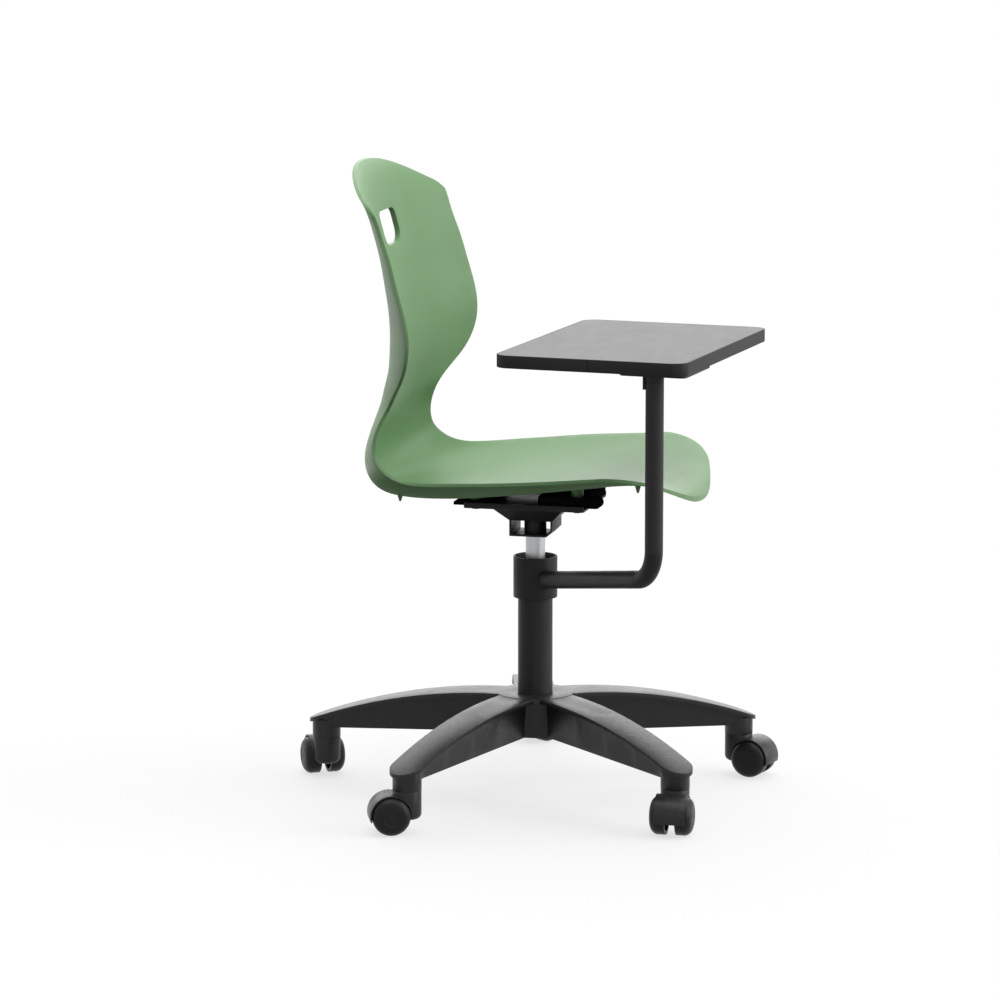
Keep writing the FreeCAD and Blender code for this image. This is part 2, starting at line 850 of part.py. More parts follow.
def make_seat_plate():
    body = new_body("seat_plate")
    blank = new_sketch(body, "XY_Plane")
    draw_outline(blank, rectangle(
        -D.plate_half_x, D.plate_half_x, -D.plate_half_y, D.plate_half_y))
    pad(body, blank, D.plate_flange)
    round_edges(body, D.plate_corner_r, upright)
    hollow = new_sketch(body, "XY_Plane", D.plate_thick)
    half_x = D.plate_half_x - D.plate_thick
    long = D.plate_half_y + D.overrun
    draw_outline(hollow, rectangle(-half_x, half_x, -long, long))
    pocket(body, hollow, D.plate_flange, reverse=True)
    for x, y in screw_places():
        hole = new_sketch(body, "XY_Plane", -D.overrun)
        draw_circle(hole, (x, y), D.screw_r + D.running_gap)
        pocket(body, hole, D.plate_flange + D.overrun, reverse=True)
    place(body, (0, 0, D.plate_bottom_z))
    sub_part(body, "seat_plate")


def make_spacer(node, blocks, y_side):
    """A moulded block between the plate and the shell, holed for two bosses."""
    body = new_body(node)
    for outline, start_x, end_x in blocks:
        side = new_sketch(body, "YZ_Plane", start_x)
        draw_outline(side, outline)
        pad(body, side, end_x - start_x)
    for x in (D.boss_x, -D.boss_x):
        hole = new_sketch(body, "XY_Plane", D.plate_bottom_z)
        draw_circle(hole, (x, y_side), D.boss_r + D.boss_gap)
        pocket(body, hole, D.shell_low_z, reverse=True)
    sub_part(body, node)


def make_spacers():
    foot = D.plate_bottom_z + D.plate_thick
    rear = [
        (D.rear_spacer_front_y, foot),
        (D.rear_spacer_back_y, foot),
        (D.rear_spacer_back_y, D.rear_spacer_back_z),
        (D.rear_spacer_front_y, D.rear_spacer_front_z),
    ]
    wide, narrow = D.spacer_half_x, D.front_spacer_crest_half_x
    make_spacer("rear_spacer", [(rear, -wide, wide)], D.boss_y)
    back, front = D.front_spacer_back_y, D.front_spacer_front_y
    top, nose_low = D.front_spacer_top_z, D.front_spacer_nose_low_z
    nose = (top - nose_low) / 2
    middle, slant = nose_low + nose, nose * cosine(as_size(45))
    flush = -D.plate_half_y
    block = [
        (back, foot),
        (back, top),
        (flush, top),
        (flush, foot),
    ]
    crest = [
        (back, foot),
        (back, D.front_spacer_back_z),
        (flush, D.front_spacer_front_z),
        (flush, foot),
    ]
    round_nose = [
        (flush, top),
        (front, top),
        (front - nose, middle, front - slant, middle + slant),
        (front, nose_low, front - slant, middle - slant),
        (flush, nose_low),
    ]
    blocks = [
        (block, -wide, wide),
        (crest, -narrow, narrow),
        (round_nose, -wide, -D.front_spacer_nose_x),
    ]
    make_spacer("front_spacer", blocks, -D.boss_y)


def make_seat_screws():
    head_low = D.plate_bottom_z - D.screw_head_thick
    screws = []
    for index, (x, y) in enumerate(screw_places()):
        reach = D.rear_screw_length if float(y) > 0 else D.front_screw_length
        screws.append(turned(f"seat_screw_{index}", [
            (0, 0),
            (D.screw_head_r, 0),
            (D.screw_head_r, D.screw_head_thick),
            (D.screw_r, D.screw_head_thick),
            (D.screw_r, D.screw_head_thick + reach),
            (0, D.screw_head_thick + reach),
        ], (x, y, head_low)))
    sub_part(group("seat_screws", screws), "seat_screws")


def make_lever():
    """The height lever: its bracket and pin under the plate, its arm and its grip."""
    ear = D.sheet_thick
    inner = D.bracket_inner_y
    depth = D.plate_bottom_z - D.bracket_bottom_z
    left = D.lever_pivot_x - D.bracket_half_x
    ears = [
        solid(
            "Part::Box", f"bracket_ear_{index}", (left, y, D.bracket_bottom_z),
            Length=2 * D.bracket_half_x, Width=ear, Height=depth)
        for index, y in enumerate((inner, -inner - ear))
    ]
    web = solid(
        "Part::Box", "bracket_web", (left, -inner, D.plate_bottom_z - ear),
        Length=2 * D.bracket_half_x, Width=2 * inner, Height=ear)
    start = inner + ear + D.overrun
    drill = solid(
        "Part::Cylinder", "bracket_drill", (D.lever_pivot_x, start, D.lever_z), 90, (1, 0, 0),
        Radius=D.pivot_pin_r, Height=2 * start)
    bracket = cut("lever_bracket", join("lever_bracket", *ears, web), drill)
    sub_part(bracket, "lever_bracket")

    pin_half = inner + ear
    pin = solid(
        "Part::Cylinder", "lever_pivot_pin", (D.lever_pivot_x, pin_half, D.lever_z), 90,
        (1, 0, 0), Radius=D.pivot_pin_r, Height=2 * pin_half)
    sub_part(pin, "lever_pivot_pin")

    tail_x = D.lever_pivot_x - D.lever_tail
    arm = solid(
        "Part::Cylinder", "lever_rod", (tail_x, 0, D.lever_z), 90, (0, 1, 0),
        Radius=D.lever_r, Height=D.lever_end_x - tail_x)
    eye = solid(
        "Part::Cylinder", "lever_eye", (D.lever_pivot_x, start, D.lever_z), 90, (1, 0, 0),
        Radius=D.pivot_pin_r + D.running_gap, Height=2 * start)
    sub_part(cut("lever_arm", arm, eye), "lever_arm")

    grip_x = D.lever_end_x - D.lever_grip_length
    body = new_body("lever_grip")
    profile = new_sketch(body, "XZ_Plane")
    end = D.lever_grip_length + D.lever_grip_round
    soft = D.lever_grip_round
    draw_outline(profile, [
        (D.lever_r, 0),
        (D.lever_grip_r - soft, 0),
        (D.lever_grip_r, soft),
        (D.lever_grip_r, end - soft),
        (D.lever_grip_r - soft, end),
        (0, end),
        (0, D.lever_grip_length),
        (D.lever_r, D.lever_grip_length),
    ])
    spin(body, profile)
    place(body, (grip_x, 0, D.lever_z), 90, (0, 1, 0))
    sub_part(body, "lever_grip")


# The one-piece shell


def shell_grid():
    """Points of the sitter's side, one row a station from the top to the front lip."""
    rows = []
    for centre_u, centre_up, edge_u, edge_up, width in SHELL_SHARES:
        row = []
        for side in (-1, 1):
            shares = ACROSS_SHARES[1:][::-1] if side < 0 else ACROSS_SHARES
            for out, rise in shares:
                forward = (centre_u + (edge_u - centre_u) * rise) * float(D.shell_depth)
                up = (centre_up + (edge_up - centre_up) * rise) * float(D.shell_rise)
                across = side * out * width * float(D.shell_half_w)
                row.append(FreeCAD.Vector(across, -forward, float(D.shell_low_z) + up))
        rows.append(row)
    return rows


def smooth_surface(rows):
    surface = Part.BSplineSurface()
    surface.interpolate(rows)
    return surface


def shell_layer(rows, surface, near, far):
    """The solid between two depths behind the sitter's side."""
    def behind(depth):
        moved = []
        for row in rows:
            line = []
            for point in row:
                normal = surface.normal(*surface.parameter(point))
                if normal.z - normal.y < 0:
                    normal = -normal
                line.append(point - normal * depth)
            moved.append(line)
        return smooth_surface(moved)

    first, second = behind(near), behind(far)
    faces = [first.toShape(), second.toShape()]
    low_u, high_u, low_v, high_v = first.bounds()
    for u in (low_u, high_u):
        faces.append(Part.makeRuledSurface(first.uIso(u).toShape(), second.uIso(u).toShape()))
    for v in (low_v, high_v):
        faces.append(Part.makeRuledSurface(first.vIso(v).toShape(), second.vIso(v).toShape()))
    skin = Part.Shell(faces)
    skin.sewShape()
    layer = Part.Solid(skin)
    if layer.Volume < 0:
        layer.reverse()
    return layer


def prism(edges, along):
    return Part.Face(Part.Wire(edges)).extrude(along)


def chain(points):
    """Edges through points in turn. A pair of vectors is an arc's middle and its end."""
    edges = []
    start = points[0]
    for item in points[1:] + points[:1]:
        if isinstance(item, tuple):
            edges.append(Part.Arc(start, *item).toShape())
            start = item[1]
        else:
            edges.append(Part.LineSegment(start, item).toShape())
            start = item
    return edges


def back_outline():
    """Front view: the crowned top of the back with its two round corners."""
    far = -float(D.shell_depth)

    def at(x, z):
        return FreeCAD.Vector(float(x), far, float(z))

    top = D.back_top_z
    low = D.shell_low_z - D.shell_depth
    out = D.shell_half_w + D.shell_wall
    return prism(chain([
        at(-out, low),
        at(out, low),
        at(out, D.back_corner_low_z - D.boss_r),
        at(D.back_half_w, D.back_corner_low_z),
        (at(D.back_corner_mid_x, D.back_corner_mid_z), at(D.back_corner_x, D.back_corner_z)),
        (at(0, top), at(-D.back_corner_x, D.back_corner_z)),
        (at(-D.back_corner_mid_x, D.back_corner_mid_z), at(-D.back_half_w, D.back_corner_low_z)),
        at(-out, D.back_corner_low_z - D.boss_r),
    ]), FreeCAD.Vector(0, -2 * far, 0))


def seat_outline():
    """Plan view: the seat's round front corners and its bowed front edge."""
    low = float(D.shell_low_z - D.shell_depth)

    def at(x, forward):
        return FreeCAD.Vector(float(x), -float(forward), low)

    out = D.shell_half_w + D.shell_wall
    return prism(chain([
        at(-out, -D.shell_depth),
        at(out, -D.shell_depth),
        at(out, D.front_arc_u),
        at(D.front_arc_x, D.front_arc_u),
        (at(D.front_corner_mid_x, D.front_corner_mid_u), at(D.front_corner_x, D.front_corner_u)),
        (at(0, D.front_u), at(-D.front_corner_x, D.front_corner_u)),
        (at(-D.front_corner_mid_x, D.front_corner_mid_u), at(-D.front_arc_x, D.front_arc_u)),
        at(-out, D.front_arc_u),
    ]), FreeCAD.Vector(0, 0, 2 * float(D.shell_depth) + float(D.shell_rise)))


def slot_prism(grow):
    """The hand-hold slot, seen from the front, grown all round."""
    half = float(D.slot_half_w + grow)
    rise = float(D.slot_half_rise + grow)
    middle = float(D.slot_z)
    block = Part.makeBox(
        2 * half, 2 * float(D.shell_depth), 2 * rise,
        FreeCAD.Vector(-half, -float(D.shell_depth), middle - rise))
    for radius, high in ((D.slot_high_corner_r, True), (D.slot_low_corner_r, False)):
        corners = [
            edge for edge in block.Edges
            if along_y(edge) and (edge.CenterOfMass.z > middle) == high
        ]
        block = block.makeFillet(float(radius + grow), corners)
    return block


def along_y(edge):
    ends = [vertex.Point for vertex in edge.Vertexes]
    run = ends[1] - ends[0]
    return abs(run.y) > 0.99 * run.Length


def under_side(layer, x, y):
    """Height of the shell's underside above a point of the plan."""
    base = FreeCAD.Vector(float(x), float(y), float(D.plate_bottom_z) - float(D.shell_wall))
    ray = Part.makeLine(base, base + FreeCAD.Vector(0, 0, float(D.shell_rise) / 2))
    return min(point.z for edge in ray.common(layer).Edges for point in
               [vertex.Point for vertex in edge.Vertexes])


def make_shell():
    rows = shell_grid()
    surface = smooth_surface(rows)
    layer = shell_layer(rows, surface, 0, float(D.shell_wall))
    rim_layer = shell_layer(rows, surface, float(D.shell_wall) / 2, float(D.slot_rim_depth))
    shell = layer.common(back_outline()).common(seat_outline())
    shell = shell.fuse(slot_prism(D.slot_rim_wall).common(rim_layer))
    shell = shell.cut(slot_prism(0 * D.slot_rim_wall))

    foot = D.plate_bottom_z + D.plate_thick
    bite = float(D.shell_wall) / 2
    for x, y in screw_places():
        top = under_side(layer, x, y) + bite
        base = FreeCAD.Vector(float(x), float(y), float(foot))
        boss = Part.makeCylinder(float(D.boss_r), top - float(foot), base)
        shell = shell.fuse(boss)
        reach = D.rear_screw_length if float(y) > 0 else D.front_screw_length
        hole_r = float(D.screw_r + D.running_gap)
        shell = shell.cut(Part.makeCylinder(hole_r, float(reach), base))

    for forward in (D.stud_rear_u, D.stud_front_u):
        for side in (D.stud_x, -D.stud_x):
            top = under_side(layer, side, -forward) + bite
            length = float(D.stud_length) + bite
            tip = FreeCAD.Vector(float(side), -float(forward), top - length)
            shell = shell.fuse(Part.makeCone(float(D.stud_tip_r), float(D.stud_r), length, tip))

    piece = doc.addObject("Part::Feature", "seat_shell")
    piece.Shape = shell.removeSplitter()
    piece.Placement = FreeCAD.Placement()
    sub_part(piece, "seat_shell")


# The arm that carries the tablet


def post_place():
    return D.post_circle_r * cosine(D.arm_heading), D.post_circle_r * sine(D.arm_heading)


def make_arm():
    bore = D.collar_r - D.collar_wall
    collar = tube_profile(bore, D.collar_r, D.collar_bottom_z, D.collar_top_z)
    sub_part(turned("arm_collar", collar), "arm_collar")

    seat = D.column_top_z + D.rest_gap
    sleeve = D.column_r + D.running_gap
    low = D.collar_bottom_z + D.bush_rise
    sub_part(turned("collar_bush", [
        (sleeve, low),
        (bore, low),
        (bore, seat + D.bush_flange),
        (D.bush_hole_r, seat + D.bush_flange),
        (D.bush_hole_r, seat),
        (sleeve, seat),
    ]), "collar_bush")

    body = new_body("arm_pipe")
    profile = new_sketch(body, "XY_Plane", D.post_top_z)
    draw_circle(profile, (0, 0), D.arm_tube_r)
    draw_circle(profile, (0, 0), D.arm_tube_r - D.arm_tube_wall)
    path = new_sketch(body, "XZ_Plane")
    draw_arm_path(path)
    pipe = body.newObject("PartDesign::AdditivePipe", "arm_pipe_run")
    pipe.Profile = profile
    pipe.Spine = (path, [])
    place(body, (*post_place(), 0), D.arm_heading + 180)
    cope = solid(
        "Part::Cylinder", "collar_cope", Radius=D.collar_r, Height=D.collar_top_z)
    sub_part(cut("arm_tube", body, cope), "arm_tube")


def draw_arm_path(path):
    """Down the post, round the bend and in towards the column, in the arm's plane."""
    slope = D.arm_slope
    corner_z = D.arm_root_z + D.post_circle_r * tangent(slope)
    half_turn = (90 - slope) / 2
    leave = D.arm_bend_r * tangent(half_turn)
    down, out = cosine(slope), sine(slope)
    bend_top = (0, corner_z + leave)
    bend_end = (leave * down, corner_z - leave * out)
    root = (D.post_circle_r, D.arm_root_z)
    centre = FreeCAD.Vector(float(D.arm_bend_r), float(bend_top[1]), 0)
    corner = FreeCAD.Vector(0, float(corner_z), 0)
    middle = centre + (corner - centre).normalize() * float(D.arm_bend_r)
    path.addGeometry(Part.LineSegment(flat((0, D.post_top_z)), flat(bend_top)), False)
    path.addGeometry(arc_through(flat(bend_top), middle, flat(bend_end)), False)
    path.addGeometry(Part.LineSegment(flat(bend_end), flat(root)), False)
    arc = path.Geometry[1]
    starts_up = (arc.StartPoint - flat(bend_top)).Length < (arc.EndPoint - flat(bend_top)).Length
    up_end, low_end = (1, 2) if starts_up else (2, 1)
    path.addConstraint(Sketcher.Constraint("Coincident", 0, 2, 1, up_end))
    path.addConstraint(Sketcher.Constraint("Coincident", 1, low_end, 2, 1))
    hold_point(path, 0, 1, (0, D.post_top_z))
    hold_point(path, 0, 2, bend_top)
    hold_point(path, 2, 1, bend_end)
    hold_point(path, 2, 2, root)
    hold(path, "Radius", 1, D.arm_bend_r)


def make_post_bush():
    bore = D.arm_tube_r - D.arm_tube_wall
    sleeve = D.spigot_r + D.running_gap
    top = D.post_top_z
    sub_part(turned("post_bush", [
        (sleeve, top - D.spigot_drop),
        (bore, top - D.spigot_drop),
        (bore, top),
        (D.arm_tube_r, top),
        (D.arm_tube_r, top + D.post_bush_flange),
        (sleeve, top + D.post_bush_flange),
    ], (*post_place(), 0)), "post_bush")


# The writing tablet, drawn with the post's axis as its own origin


def tablet_outline(inset):
    return rectangle(
        inset - D.tablet_near, D.tablet_far - inset,
        inset - D.tablet_front, D.tablet_rear - inset)


def tablet_slab(node, inset, low, thick):
    """A layer of the tablet, with round corners."""
    body = new_body(node)
    sketch = new_sketch(body, "XY_Plane", low)
    draw_outline(sketch, tablet_outline(inset))
    pad(body, sketch, thick)
    round_edges(body, D.tablet_corner_r - inset, upright)
    return body


def tablet_screw_places():
    near = D.tablet_screw_near_inset - D.bracket_plate_near
    far = D.bracket_plate_far - D.tablet_screw_inset
    side = D.bracket_plate_half_y - D.tablet_screw_inset
    return [(x, y) for x in (near, far) for y in (side, -side)]


def make_tablet():
    at = (*post_place(), 0)
    low = D.tablet_bottom_z
    board_thick = D.tablet_thick - D.laminate_thick
    band = D.edge_band_thick
    zero = 0 * band

    board = tablet_slab("tablet_board", band, low, board_thick)
    for x, y in tablet_screw_places():
        hole = new_sketch(board, "XY_Plane", low)
        draw_circle(hole, (x, y), D.tablet_screw_r)
        pocket(board, hole, D.tablet_screw_length, reverse=True)
    sub_part(place(board, at, D.tablet_turn), "tablet_board")

    top = tablet_slab("tablet_laminate", band, low + board_thick, D.laminate_thick)
    sub_part(place(top, at, D.tablet_turn), "tablet_laminate")

    outer = tablet_slab("edge_band_outer", zero, low, D.tablet_thick)
    inner = tablet_slab("edge_band_inner", band, low - D.overrun, D.tablet_thick + 2 * D.overrun)
    ring = cut("tablet_edge_band", outer, inner)
    sub_part(place(ring, at, D.tablet_turn), "tablet_edge_band")

    plate_low = low - D.bracket_plate_thick
    plate = new_body("tablet_plate")
    blank = new_sketch(plate, "XY_Plane", plate_low)
    half = D.bracket_plate_half_y
    draw_outline(blank, rectangle(-D.bracket_plate_near, D.bracket_plate_far, -half, half))
    pad(plate, blank, D.bracket_plate_thick)
    round_edges(plate, D.bracket_plate_corner_r, upright)
    for x, y in tablet_screw_places():
        hole = new_sketch(plate, "XY_Plane", plate_low)
        draw_circle(hole, (x, y), D.tablet_screw_r + D.running_gap)
        pocket(plate, hole, D.bracket_plate_thick, reverse=True)
    sub_part(place(plate, at, D.tablet_turn), "tablet_plate")

    screws = []
    for index, (x, y) in enumerate(tablet_screw_places()):
        head = D.tablet_screw_head_thick
        reach = head + D.bracket_plate_thick + D.tablet_screw_length
        screws.append(turned(f"tablet_screw_{index}", [
            (0, 0),
            (D.tablet_screw_head_r, 0),
            (D.tablet_screw_head_r, head),
            (D.tablet_screw_r, head),
            (D.tablet_screw_r, reach),
            (0, reach),
        ], (x, y, plate_low - head)))
    together = group("tablet_screws", screws)
    sub_part(place(together, at, D.tablet_turn), "tablet_screws")

    shoulder = D.post_top_z + D.post_bush_flange + D.rest_gap
    sub_part(turned("tablet_spigot", [
        (0, D.post_top_z - D.spigot_drop),
        (D.spigot_r, D.post_top_z - D.spigot_drop),
        (D.spigot_r, shoulder),
        (D.arm_tube_r, shoulder),
        (D.arm_tube_r, plate_low),
        (0, plate_low),
    ], at, D.tablet_turn), "tablet_spigot")

    block = new_body("tablet_stop")
    sketch = new_sketch(block, "XY_Plane", plate_low - D.stop_length)
    near = D.arm_tube_r + D.rest_gap
    draw_outline(sketch, rectangle(
        -D.stop_half_w, D.stop_half_w, near, near + D.stop_thick))
    pad(block, sketch, D.stop_length)
    sub_part(place(block, at, D.tablet_turn), "tablet_stop")


# Castors: each is drawn about its stem, trailing towards +X, then turned


def wheel_body(node, side):
    """One wheel of a twin castor, on the side of the web that side's sign gives."""
    body = new_body(node)
    sketch = new_sketch(body, "YZ_Plane", D.castor_trail)

    def at(y, radius, *middle):
        point = [side * y, D.wheel_r + radius]
        if middle:
            point += [side * middle[0], D.wheel_r + middle[1]]
        return tuple(point)

    bore = D.axle_r + D.running_gap
    inner = D.wheel_inner_y
    rim = D.wheel_r - D.wheel_rim
    draw_outline(sketch, [
        at(inner, bore),
        at(inner, D.wheel_hub_r),
        at(D.wheel_web_y, D.wheel_hub_r),
        at(D.wheel_web_y, rim),
        at(inner, rim),
        at(inner, D.wheel_r),
        at(D.wheel_tread_y, D.wheel_r),
        at(D.wheel_outer_y, D.wheel_face_r, D.wheel_dome_y, D.wheel_dome_r),
        at(D.wheel_outer_y, 0),
        at(D.wheel_bore_end_y, 0),
        at(D.wheel_bore_end_y, bore),
    ])
    centre = FreeCAD.Vector(0, float(D.wheel_r), 0)
    line = Part.LineSegment(centre, centre + FreeCAD.Vector(float(D.wheel_outer_y), 0, 0))
    index = sketch.addGeometry(line, True)
    hold_point(sketch, index, 1, (0, D.wheel_r))
    hold_point(sketch, index, 2, (D.wheel_outer_y, D.wheel_r))
    spin(body, sketch, "Axis0")
    return body


def around_axle(radius, angle):
    """A point of the castor's side view, at an angle about the axle."""
    return D.castor_trail + radius * cosine(angle), D.wheel_r + radius * sine(angle)


def castor_housing(node):
    """The stem's tower, the web between the wheels and the hood over them."""
    body = new_body(node)
    low, high = D.housing_bottom_z, D.socket_bottom_z - D.rest_gap
    soft = D.housing_round_r
    lean = soft * (1 - cosine(as_size(45)))
    tower = new_sketch(body, "XZ_Plane")
    draw_outline(tower, [
        (0, low),
        (D.housing_r - soft, low),
        (D.housing_r, low + soft, D.housing_r - lean, low + lean),
        (D.housing_r, high),
        (0, high),
    ])
    spin(body, tower)

    side = new_sketch(body, "XZ_Plane")
    hood_top = (D.castor_trail, D.wheel_r + D.hood_r)
    draw_outline(side, [
        (0, low + soft),
        (D.castor_trail, D.wheel_r - D.web_r),
        around_axle(D.hood_r, D.hood_end_angle),
        (*around_axle(D.hood_r, D.hood_root_angle), *hood_top),
    ])
    pad(body, side, 2 * D.hood_half, both_ways=True)

    axle = (D.castor_trail, D.wheel_r)
    for sign in (1, -1):
        well = new_sketch(body, "XZ_Plane", sign * D.web_half)
        draw_circle(well, axle, D.wheel_r + D.hood_gap)
        pocket(body, well, D.wheel_outer_y, reverse=sign > 0)
    hole = new_sketch(body, "XZ_Plane")
    draw_circle(hole, axle, D.axle_r)
    pocket(body, hole, 2 * D.housing_r, both_ways=True)
    stem = new_sketch(body, "XY_Plane", D.stem_foot_z)
    draw_circle(stem, (0, 0), D.stem_r)
    pocket(body, stem, high, reverse=True)
    return body


def make_castor(name, leg_angle, trail_angle):
    at = (
        D.castor_circle_r * cosine(leg_angle), D.castor_circle_r * sine(leg_angle), 0)
    node = f"castor_{name}"

    housing = castor_housing(f"{node}_housing")
    sub_part(place(housing, at, trail_angle), f"{node}_housing")

    axle = new_body(f"{node}_axle")
    circle = new_sketch(axle, "XZ_Plane")
    draw_circle(circle, (D.castor_trail, D.wheel_r), D.axle_r)
    pad(axle, circle, 2 * D.axle_half, both_ways=True)
    sub_part(place(axle, at, trail_angle), f"{node}_axle")

    stem_top = D.socket_bottom_z + D.socket_depth - D.stem_top_gap
    groove_high = stem_top - D.stem_groove_drop
    groove_low = groove_high - D.stem_groove_w
    neck = D.stem_r - D.stem_groove
    sub_part(turned(f"{node}_stem", [
        (0, D.stem_foot_z),
        (D.stem_r, D.stem_foot_z),
        (D.stem_r, groove_low),
        (neck, groove_low),
        (neck, groove_high),
        (D.stem_r, groove_high),
        (D.stem_r, stem_top),
        (0, stem_top),
    ], at, trail_angle), f"{node}_stem")

    for word, side in (("right", -1), ("left", 1)):
        wheel = wheel_body(f"{node}_wheel_{word}", side)
        sub_part(place(wheel, at, trail_angle), f"{node}_wheel_{word}")


def make_castors():
    for index, name in enumerate(CASTOR_NAMES):
        leg_angle = D.leg_first_angle + 360 * index / LEG_COUNT
        make_castor(name, leg_angle, getattr(D, f"castor_angle_{name}"))


make_base_star()
make_column()
make_gas_spring()
make_mechanism_housing()
make_seat_plate()
make_spacers()
make_seat_screws()
make_lever()
make_shell()
make_arm()
make_post_bush()
make_tablet()
make_castors()
doc.recompute()

for thing in doc.Objects:
    if {"Invalid", "Error"} & set(thing.State):
        raise RuntimeError(f"{thing.Name} failed: {thing.State}")
for piece in SUB_PARTS:
    if piece.Shape.isNull() or not piece.Shape.isValid():
        raise RuntimeError(f"{piece.Label} has no valid shape")

os.makedirs("parts", exist_ok=True)
for piece in SUB_PARTS:
    piece.Shape.exportStep(f"parts/{piece.Label}.step")
    print(piece.Label, len(piece.Shape.Solids), round(piece.Shape.Volume))
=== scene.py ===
"""Looks for a swivel chair.

The chair has a moulded green shell on a gas lift, a side arm with a writing tablet, and a star base
on castors. The CAD nodes keep their places. Rounded mouldings and small parts ride on their bodies.
"""

import json
import math

import bmesh
import bpy
from mathutils import Matrix, Vector
from mathutils.bvhtree import BVHTree

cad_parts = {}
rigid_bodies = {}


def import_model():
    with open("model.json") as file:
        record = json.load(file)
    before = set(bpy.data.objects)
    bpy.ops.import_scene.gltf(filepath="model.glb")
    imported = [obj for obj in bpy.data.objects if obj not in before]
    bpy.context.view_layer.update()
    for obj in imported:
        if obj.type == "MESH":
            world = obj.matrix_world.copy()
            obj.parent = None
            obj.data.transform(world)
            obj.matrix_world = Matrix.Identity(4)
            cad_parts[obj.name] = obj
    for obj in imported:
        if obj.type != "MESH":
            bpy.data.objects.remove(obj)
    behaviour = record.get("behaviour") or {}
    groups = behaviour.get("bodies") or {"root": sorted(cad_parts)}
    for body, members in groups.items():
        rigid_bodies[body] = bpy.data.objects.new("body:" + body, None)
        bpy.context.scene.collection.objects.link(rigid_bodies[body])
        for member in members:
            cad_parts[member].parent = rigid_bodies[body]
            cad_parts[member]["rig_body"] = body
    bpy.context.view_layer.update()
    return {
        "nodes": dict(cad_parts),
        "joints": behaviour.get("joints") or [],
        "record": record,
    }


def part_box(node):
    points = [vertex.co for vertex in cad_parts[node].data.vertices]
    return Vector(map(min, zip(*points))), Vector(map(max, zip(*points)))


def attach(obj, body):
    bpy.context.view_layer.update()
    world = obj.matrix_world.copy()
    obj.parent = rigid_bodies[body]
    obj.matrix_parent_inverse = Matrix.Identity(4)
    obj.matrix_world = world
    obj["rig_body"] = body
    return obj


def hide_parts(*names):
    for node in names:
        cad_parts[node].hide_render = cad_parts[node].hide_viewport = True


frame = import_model()
NODES = frame["nodes"]
SLOT_OF = {part["node"]: part["material_slot"] for part in frame["record"]["subparts"]}

MM = 0.001
MICRON = 0.000001
UP, DOWN = Vector((0, 0, 1)), Vector((0, 0, -1))
CASTORS = ("one", "two", "three", "four", "five")
SIDES = ("right", "left")

# Camera and backdrop, with angles in degrees
CAMERA_PLACE = (-6.551, -1.573, 1.578)
CAMERA_TURN = (80.294, 0, -76.065)
CAMERA_LENS, SENSOR_WIDTH = 171.35, 36
CAMERA_NEAR, CAMERA_FAR = 0.1, 100
WHITE = (1, 1, 1, 1)
WORLD_LIGHT, WORLD_SEEN = 0.17, 1.0

# Floor, with shades from 0 to 255
FLOOR_WIDTH = 80
FLOOR_DROP = 0.5 * MM
FLOOR_BOUNCE = 90
FLOOR_PALE, FLOOR_PALEST = 238, 243
FLOOR_GLOW = 0.7

# Each lamp: its name, heading about Z, height above the floor, softness and strength
LAMPS = (
    ("top", -60, 80, 80, 2.05),
    ("front", -80, 17, 55, 1.85),
    ("far side", 15, 30, 60, 1.0),
    ("back", 68, 30, 60, 0.45),
)

# Wheel caps. Each step goes in from the rim and up or down, in millimetres.
CAP_R, CAP_EDGE = 13.2 * MM, 0.16 * MM
CAP_THICK, CAP_PROUD = 1.2 * MM, 0.4 * MM
CAP_REACH = 30 * MM
CAP_STEPS = ((1.3, 0), (0.5, -0.5), (6.4, 0), (0.9, 0.3), (2.2, 0), (0.2, -0.25))

# Tablet's edge strip, whose ends meet in a butt joint
TABLET_TURN, TABLET_LENGTH = math.radians(5.75), 0.4
JOINT_DEEP, JOINT_GAP, JOINT_HIGH = 8 * MM, 0.8 * MM, 40 * MM
STRIP_EDGE = 0.5 * MM

# Lugs under the seat. Each place is how far back and how far from the middle.
LUG_PLACES = ((166 * MM, 130 * MM), (-183 * MM, 150 * MM))
LUG_HANG, LUG_SUNK = 10 * MM, 2.5 * MM
LUG_TIP_R, LUG_ROOT_R = 1.4 * MM, 5.0 * MM
LUG_EDGE = 0.6 * MM

# Weld bead between arm and collar, and how far past the collar the tube's mouth is looked for
BEAD_R, BEAD_CLEAR = 1.6 * MM, 0.3 * MM
BEAD_PARTS, BEAD_SIDES = 72, 12
BEAD_RIPPLE = 0.22 * MM
MOUTH_REACH = 2 * MM

# Socket screws: a head's rounding and its socket's depth, as shares of its height, and how many
# of its radii are always less than the distance to the next screw
HEAD_ROUNDING, SOCKET_DEPTH, HEADS_APART = 0.3, 1.2, 3
SHANK_EDGE, SAME_LEVEL = 0.5 * MM, 0.05 * MM

# Finger ridges, and where they stand as shares of the lever's handle
RIDGE_R, RIDGE_SUNK = 0.7 * MM, 0.1 * MM
RIDGE_SHARES = (0.3, 0.5, 0.7)

# Copies of CAD nodes: points closer than this become one, and so do faces that meet at less than
# this many degrees
SAME_POINT, FLAT_ANGLE = 0.01 * MM, 0.02

# Edges of more than this many degrees are rounded: on copies of CAD nodes, and on turned pieces
SHARP_ANGLE, TURNED_ANGLE = 35, 30


# ---------------------------------------------------------------- shader maths


